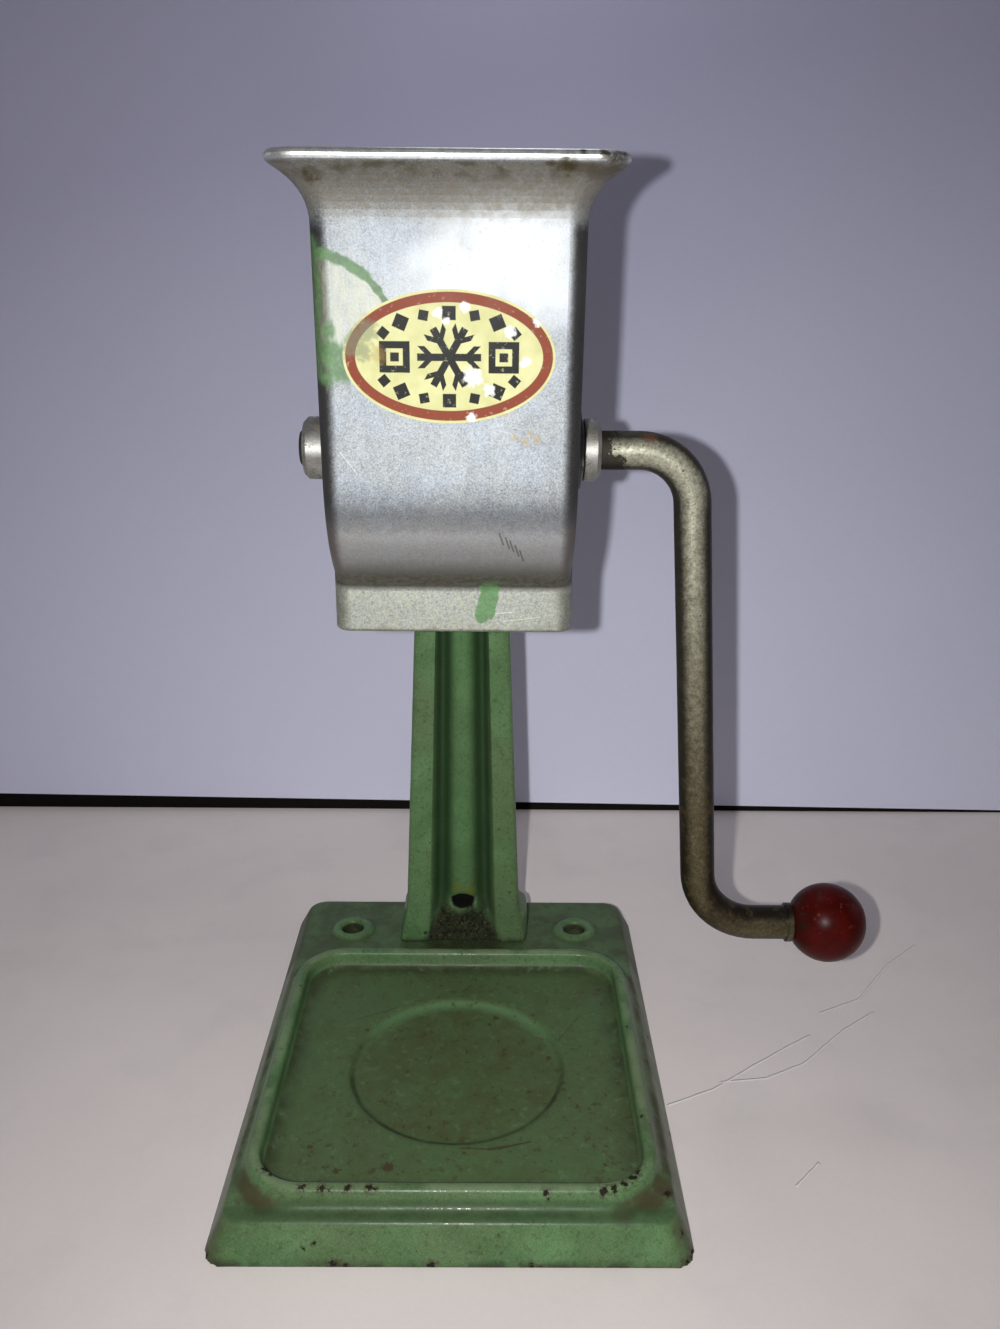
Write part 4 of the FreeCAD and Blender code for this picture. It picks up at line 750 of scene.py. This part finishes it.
def red_lacquer():
    """Dark red lacquer on the knob, grazed in front and dirty where the rod enters."""
    finish = Finish("red_knob", Specular_IOR_Level=0.09)
    cloud = finish.noise(6.0, 3.0, 1.0)
    ragged = finish.noise(1.4, 4.0, 2.0)
    color = finish.mix(cloud.step(0.3, 0.7), LACQUER_DARK, LACQUER_LIGHT)
    grazes = union(finish.stroke((x - run / 2, SHAFT_Y - 9.6, z),
                                 (x + run / 2, SHAFT_Y - 7.4, z + 1.0), 0.7, ragged, 0.6)
                   for x, z, run in KNOB_GRAZES)
    upper = (finish.z - ARM_LOW_Z).step(1.0, 8.0)
    scuffs = grazes.most(finish.noise(1.1, 5.0, 5.0).step(0.58, 0.68) * (0.15 + upper * 0.6))
    color = finish.mix(scuffs * 0.35, color, LACQUER_SCUFF)
    dirt = (finish.x - 97.5).step(2.2, 0.0) * ragged.step(0.35, 0.6)
    color = finish.mix(dirt * 0.8, color, KNOB_DIRT)
    rough = 0.30 + cloud * 0.08 + scuffs * 0.3
    return finish.feed(color, rough, height=ragged * 0.3 + cloud * 0.6 - scuffs * 0.5, depth=0.05)


CREAM_DARK = (0.60, 0.59, 0.27)
CREAM_LIGHT = (0.69, 0.68, 0.35)
BRICK_RED = (0.240, 0.052, 0.023)
INK = (0.012, 0.012, 0.010)
WORN_WHITE = (0.82, 0.84, 0.84)
RUBBED_CREAM = (0.62, 0.60, 0.42)
LABEL_SMEAR = (0.18, 0.22, 0.14)
LABEL_STAIN = (0.38, 0.24, 0.06)

LABEL_HALF_WIDTH = 22.6
LABEL_HALF_HEIGHT = 13.8
LABEL_Y = -97.2
LABEL_Z = 212.2
BORDER_FROM = 0.55          # in from the label's edge
BORDER_TO = 2.65
TILE_RING_HALF = (16.6, 9.0)
CUBE_X = 11.6
LABEL_WEAR = [(3.4, 222.6, 1.1), (-2.4, 221.2, 1.0), (5.0, 208.2, 1.9), (16.2, 211.4, 1.0),
              (4.8, 199.6, 1.0), (12.8, 217.4, 1.2), (18.6, 219.4, 0.8), (8.6, 205.4, 1.2),
              (-0.6, 219.6, 0.8)]
LABEL_SMEARS = [(-20.6, 215.6, 3.0), (-17.6, 217.6, 2.4), (-18.4, 213.4, 1.8)]


def printed_label():
    """An oval paper label: a brick red ring, a cream field and a frost star between ice cubes."""
    finish = Finish("printed_label", Specular_IOR_Level=0.09)
    ragged = finish.noise(1.2, 4.0, 1.0)
    cloud = finish.noise(5.0, 3.0, 2.0)
    u = finish.x
    v = finish.z - LABEL_Z
    oval = ((u / LABEL_HALF_WIDTH) ** 2.0 + (v / LABEL_HALF_HEIGHT) ** 2.0) ** 0.5
    slope = ((u / LABEL_HALF_WIDTH ** 2) ** 2.0 + (v / LABEL_HALF_HEIGHT ** 2) ** 2.0) ** 0.5
    inward = (1 - oval) * oval / slope
    cream = finish.mix(cloud.step(0.35, 0.65), CREAM_DARK, CREAM_LIGHT)
    border = (inward - BORDER_FROM).step(-0.08, 0.08) * (BORDER_TO - inward).step(-0.08, 0.08)
    color = finish.mix(border, cream, BRICK_RED)

    arms = []
    for step in range(3):
        angle = math.radians(60 * step + 30)
        across = u * math.cos(angle) + v * math.sin(angle)
        along = abs(v * math.cos(angle) - u * math.sin(angle))
        arm = abs(across).step(0.84, 0.70) * along.step(6.9, 6.7)
        barb = abs(abs(across) + 3.7 - along).step(0.82, 0.68) * abs(across).step(2.4, 2.2)
        arms.append(arm.most(barb))
    ink = union(arms)
    for centre in (-CUBE_X, CUBE_X):
        side = abs(u - centre).most(abs(v))
        cube = abs(side - 2.5).step(0.82, 0.66)
        core = side.step(1.0, 0.85)
        ink = ink.most(cube).most(core)
    wide, high = TILE_RING_HALF
    for half in (1, -1):
        for step in range(-3, 4):
            angle = math.radians(90 - 19 * step) * half
            du = u - wide * math.cos(angle)
            dv = v - high * math.sin(angle)
            lean = math.atan2(wide * math.sin(angle), high * math.cos(angle)) - math.pi / 2
            tile = abs(du * math.cos(lean) - dv * math.sin(lean)).most(
                abs(du * math.sin(lean) + dv * math.cos(lean)))
            half_tile = 1.5 if step % 2 == 0 else 1.1
            ink = ink.most(tile.step(half_tile, half_tile - 0.14))
    color = finish.mix(ink, color, INK)
    worn = finish.spots(on_face(LABEL_Y, LABEL_WEAR), ragged, 0.3)
    color = finish.mix(worn * 0.9, color, WORN_WHITE)
    rubbed = finish.noise(0.8, 4.0, 6.0).step(0.60, 0.68)
    color = finish.mix(rubbed * 0.35, color, RUBBED_CREAM)
    smear = finish.spots(on_face(LABEL_Y, LABEL_SMEARS), ragged, 0.5)
    color = finish.mix(smear * 0.6, color, LABEL_SMEAR)
    stain = finish.spots([(-15.0, LABEL_Y, 212.6, 1.6)], ragged, 0.7)
    color = finish.mix(stain * 0.4, color, LABEL_STAIN)
    return finish.feed(color, 0.36 + cloud * 0.14, height=ragged - worn * 0.8, depth=0.03)


FINISHES = {
    "base_casting": base_enamel(),
    "column_casting": column_enamel(),
    "hopper_shell": cast_aluminium(),
    "label_plate": printed_label(),
    "crank_rod": worn_steel(),
    "knob": red_lacquer(),
}
COLLARS = turned_steel()
ZINC = plain_metal("zinc_steel", light=(0.46, 0.45, 0.41), dark=(0.34, 0.33, 0.30),
                   stain=(0.10, 0.065, 0.035), rough=0.34)
BRONZE = plain_metal("bronze", light=(0.20, 0.135, 0.065), dark=(0.11, 0.075, 0.035),
                     stain=(0.03, 0.02, 0.012), rough=0.40)
TOOTH_IRON = plain_metal("plated_iron", light=(0.42, 0.42, 0.40), dark=(0.26, 0.25, 0.23),
                         stain=(0.12, 0.07, 0.04), rough=0.38, size=3.0)
for node in ("collar_left", "collar_right"):
    FINISHES[node] = COLLARS
FINISHES["knob_ferrule"] = FINISHES["crank_rod"]
for node in ("column_screws", "column_lock_washers", "hopper_screws", "hopper_lock_washers",
             "thrust_washer_left", "thrust_washer_right", "rotor_pin", "collar_pins", "knob_washer",
             "knob_screw"):
    FINISHES[node] = ZINC
for node in ("bush_left", "bush_right"):
    FINISHES[node] = BRONZE
for node in ("breaker_rotor", "breaker_comb"):
    FINISHES[node] = TOOTH_IRON

for node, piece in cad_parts.items():
    piece.data.materials.clear()
    piece.data.materials.append(FINISHES[node])


# ---- Castings ----

def torus(mesh, centre, radius, thickness):
    """Adds a ring lying flat round a centre, all in millimetres."""
    centre = Vector(centre)
    aside = Matrix.Translation((centre + Vector((radius, 0, 0))) * MM)
    upright = Matrix.Rotation(math.pi / 2, 4, "X")
    loop = bmesh.ops.create_circle(mesh, segments=RING_SECTION_SIDES, radius=thickness / 2 * MM,
                                   matrix=aside @ upright)
    edges = {edge for vert in loop["verts"] for edge in vert.link_edges}
    bmesh.ops.spin(mesh, geom=loop["verts"] + list(edges), cent=centre * MM, axis=(0, 0, 1),
                   angle=2 * math.pi, steps=RING_STEPS, use_merge=True)


def bake(piece):
    """Keeps what the modifiers make of a piece as its own mesh."""
    seen = piece.evaluated_get(bpy.context.evaluated_depsgraph_get())
    piece.data = bpy.data.meshes.new_from_object(seen)
    piece.modifiers.clear()


def ease(value, low, high):
    """0 at low, 1 at high, smooth between."""
    share = min(max((value - low) / (high - low), 0.0), 1.0)
    return share * share * (3 - 2 * share)


def flute(mesh):
    """Turns the column's two square channels into soft flutes, with a rounded rib between them."""
    for vert in mesh.vertices:
        x, y, z = vert.co / MM
        channel = CHANNEL_FOOT + (CHANNEL_NECK - CHANNEL_FOOT) * (z - ANKLE_Z) / (NECK_Z - ANKLE_Z)
        in_drain = math.hypot(x / DRAIN_HALF[0], (z - DRAIN_Z) / DRAIN_HALF[1]) < DRAIN_REACH
        if y > FLUTE_REACH_Y or abs(x) > channel or in_drain:
            continue
        edge = channel * FLUTE_SHARE
        mound = ease(z, MOUND_TOP_Z, MOUND_FOOT_Z)
        crest = RIB_CREST + (MOUND_HALF_WIDTH - RIB_CREST) * mound
        across = min(max(abs(x) - crest, 0.0) / (edge - crest), 1.0)
        if across < FLUTE_DEEPEST:
            turn = across / FLUTE_DEEPEST
        else:
            turn = (1 - across) / (1 - FLUTE_DEEPEST)
        depth = FLUTE_DEPTH * (1 - MOUND_RISE * mound) * math.sin(math.pi / 2 * turn) ** 2
        if abs(x) < edge:
            depth = max(depth, MOUND_RECESS * mound)
        there = ease(z, *FOOT_FADE_Z) * ease(z, *(NECK_Z - run for run in FLUTE_RUN_OUT))
        vert.co.y = (y + (COLUMN_FRONT_Y + depth - y) * there) * MM


def softened(node, name, body, voxel, passes, rings=(), shaping=None):
    """Stands for a casting, with the soft edges and corners that sand and thick enamel leave."""
    shape = bmesh.new()
    shape.from_mesh(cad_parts[node].data)
    bmesh.ops.remove_doubles(shape, verts=shape.verts, dist=WELD * MM)
    for centre, radius, thickness in rings:
        torus(shape, centre, radius, thickness)
    bmesh.ops.recalc_face_normals(shape, faces=shape.faces)
    mesh = bpy.data.meshes.new(name)
    shape.to_mesh(mesh)
    shape.free()
    piece = bpy.data.objects.new(name, mesh)
    scene.collection.objects.link(piece)
    remesh = piece.modifiers.new("remesh", "REMESH")
    remesh.mode = "VOXEL"
    remesh.voxel_size = voxel * MM
    remesh.use_smooth_shade = True
    bake(piece)
    if shaping:
        shaping(piece.data)
    smooth = piece.modifiers.new("smooth", "SMOOTH")
    smooth.factor = 0.5
    smooth.iterations = passes
    bake(piece)
    piece.data.materials.clear()
    piece.data.materials.append(FINISHES[node])
    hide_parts(node)
    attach(piece, body)


softened("base_casting", "base_enamelled", "stand", BASE_VOXEL, BASE_PASSES,
         rings=[((x, 0, RING_Z), RING_R, RING_THICKNESS) for x in (-BENCH_HOLE_X, BENCH_HOLE_X)])
softened("column_casting", "column_enamelled", "stand", COLUMN_VOXEL, COLUMN_PASSES,
         shaping=flute)


# ---- Floor, backdrop and lamps ----

TABLE_DARK = (0.82, 0.745, 0.715)
TABLE_LIGHT = (0.91, 0.83, 0.79)
TABLE_SMUDGE = (0.60, 0.59, 0.60)
CREASE_WHITE = (0.99, 0.96, 0.93)
WALL_FALLOFF_SHADE = (0.60, 0.585, 0.65)
WALL_DARK = (0.75, 0.755, 0.94)
WALL_LIGHT = (0.83, 0.835, 1.0)
GAP_SHADE_DARK = (0.004, 0.003, 0.003)
GAP_SHADE_LIGHT = (0.010, 0.008, 0.007)

WALL_Y = 114.0
WALL_TOP = 1200.0
WALL_FOOT = (21.5, -13.0)     # height of the wall's lower edge, on the left and right
GAP_TOP = 40.0                # a dark strip behind the wall shows below its edge: a sheet of painted shade for the gap
GAP_BEHIND = 0.5
STAGE_HALF_WIDTH = 1400.0
STAGE_HALF_DEPTH = 1500.0


def stage_sheet(name, corners, finish):
    """A flat stage piece through four corners, given anticlockwise as its front is seen."""
    mesh = bpy.data.meshes.new(name)
    sheet = bmesh.new()
    sheet.faces.new([sheet.verts.new(Vector(corner) * MM) for corner in corners])
    sheet.to_mesh(mesh)
    sheet.free()
    piece = bpy.data.objects.new(name, mesh)
    scene.collection.objects.link(piece)
    piece.data.materials.append(finish)


CREASES = [[(62.0, -76.4), (76.1, -69.7), (92.6, -57.6), (104.2, -49.3), (111.5, -44.5)],
           [(79.1, -66.4), (93.4, -64.6), (106.9, -57.5), (123.4, -41.5), (135.6, -32.4)],
           [(118.4, -32.6), (133.4, -25.2), (148.7, -6.2), (163.5, 7.0)],
           [(91.9, -107.0), (99.7, -99.0)]]


def table_paint():
    """A pale, smudged table top with a few raised creases."""
    finish = Finish("pale_table", Roughness=0.75, Specular_IOR_Level=0.2)
    cloud = finish.noise(140.0, 4.0, 1.0)
    grain = finish.noise(1.2, 3.0, 2.0)
    shade = cloud.step(0.3, 0.7) * 0.8 + (grain - 0.5) * 0.6
    color = finish.mix(shade, TABLE_DARK, TABLE_LIGHT)
    smudge = finish.noise(24.0, 4.0, 3.0).step(0.50, 0.68)
    color = finish.mix(smudge * 0.16, color, TABLE_SMUDGE)
    ragged = finish.noise(4.0, 3.0, 4.0)
    crease = union(finish.stroke((*start, 0), (*stop, 0), 0.7, ragged, 0.5)
                   for run in CREASES for start, stop in zip(run, run[1:]))
    color = finish.mix(crease * 0.6, color, CREASE_WHITE)
    return finish.feed(color, height=crease, depth=0.3)


def one_sided(name, dark, light):
    """Matt paint that only its front shows, so that the part can be seen from behind."""
    finish = Finish(name, Roughness=0.85, Specular_IOR_Level=0.1)
    cloud = finish.noise(260.0, 3.0, 1.0)
    grain = finish.noise(1.4, 3.0, 2.0)
    color = finish.mix(cloud.step(0.3, 0.7) * 0.8 + (grain - 0.5) * 0.6, dark, light)
    # Painted shade: darker towards the top and the left, where the front lamp's light falls off.
    upper = finish.z.step(-10.0, 300.0) * 0.75 + finish.z.step(200.0, 420.0) * 0.5
    upper = upper + finish.x.step(150.0, -300.0) * 0.25
    color = finish.mix(upper.least(1.0), color, WALL_FALLOFF_SHADE, "MULTIPLY")
    finish.feed(color)
    behind = finish.node("ShaderNodeNewGeometry", out="Backfacing")
    clear = finish.node("ShaderNodeBsdfTransparent")
    shown = finish.node("ShaderNodeMixShader",
                        values={0: behind, 1: Value(finish, finish.shader.outputs[0]), 2: clear})
    output = finish.tree.nodes["Material Output"]
    finish.tree.links.new(shown.socket, output.inputs["Surface"])
    return finish.material


LEFT, RIGHT = -STAGE_HALF_WIDTH, STAGE_HALF_WIDTH
stage_sheet("table", [(LEFT, -STAGE_HALF_DEPTH, 0), (RIGHT, -STAGE_HALF_DEPTH, 0),
                      (RIGHT, STAGE_HALF_DEPTH, 0), (LEFT, STAGE_HALF_DEPTH, 0)], table_paint())
stage_sheet("wall", [(LEFT, WALL_Y, WALL_FOOT[0]), (RIGHT, WALL_Y, WALL_FOOT[1]),
                     (RIGHT, WALL_Y, WALL_TOP), (LEFT, WALL_Y, WALL_TOP)],
            one_sided("lavender_wall", WALL_DARK, WALL_LIGHT))
# Painted shade: a near-black sheet behind the wall's lower edge stands for the shaded gap.
GAP_Y = WALL_Y + GAP_BEHIND
stage_sheet("gap", [(LEFT, GAP_Y, 0), (RIGHT, GAP_Y, 0),
                    (RIGHT, GAP_Y, GAP_TOP), (LEFT, GAP_Y, GAP_TOP)],
            one_sided("gap_shade", GAP_SHADE_DARK, GAP_SHADE_LIGHT))


def lamp(name, place, target, size, power, spread=180.0):
    """A round lamp that the camera doesn't see. Places and size are in millimetres."""
    data = bpy.data.lights.new(name, "AREA")
    data.shape = "DISK"
    data.spread = math.radians(spread)
    data.size = size * MM
    data.energy = power
    piece = bpy.data.objects.new(name, data)
    scene.collection.objects.link(piece)
    aim = Vector(target) - Vector(place)
    piece.matrix_world = (Matrix.Translation(Vector(place) * MM)
                          @ aim.to_track_quat("-Z", "Y").to_matrix().to_4x4())
    piece.visible_camera = False
    return piece


lamp("front_lamp", (-9, -350, 231), (36, 114, 14), size=5, power=0.50, spread=132.0)
lamp("top_lamp", (-120, -260, 620), (0, -60, 60), size=420, power=0.17).visible_glossy = False
lamp("right_lamp", (560, 10, 260), (0, -60, 120), size=300, power=0.09)
lamp("left_lamp", (-560, 10, 260), (0, -60, 120), size=300, power=0.11)
lamp("back_lamp", (20, 70, 430), (0, 5, 100), size=80, power=0.07)

ROOM_COLOR = (0.86, 0.88, 0.93, 1)
ROOM_STRENGTH = 0.055
SEEN_COLOR = (0.36, 0.35, 0.44, 1)

world = bpy.data.worlds.new("room")
scene.world = world
world.use_nodes = True
sky = world.node_tree
room = sky.nodes["Background"]
room.inputs["Color"].default_value = ROOM_COLOR
room.inputs["Strength"].default_value = ROOM_STRENGTH
seen = sky.nodes.new("ShaderNodeBackground")
seen.inputs["Color"].default_value = SEEN_COLOR
which = sky.nodes.new("ShaderNodeMixShader")
sky.links.new(sky.nodes.new("ShaderNodeLightPath").outputs["Is Camera Ray"], which.inputs[0])
sky.links.new(room.outputs[0], which.inputs[1])
sky.links.new(seen.outputs[0], which.inputs[2])
sky.links.new(which.outputs[0], sky.nodes["World Output"].inputs["Surface"])
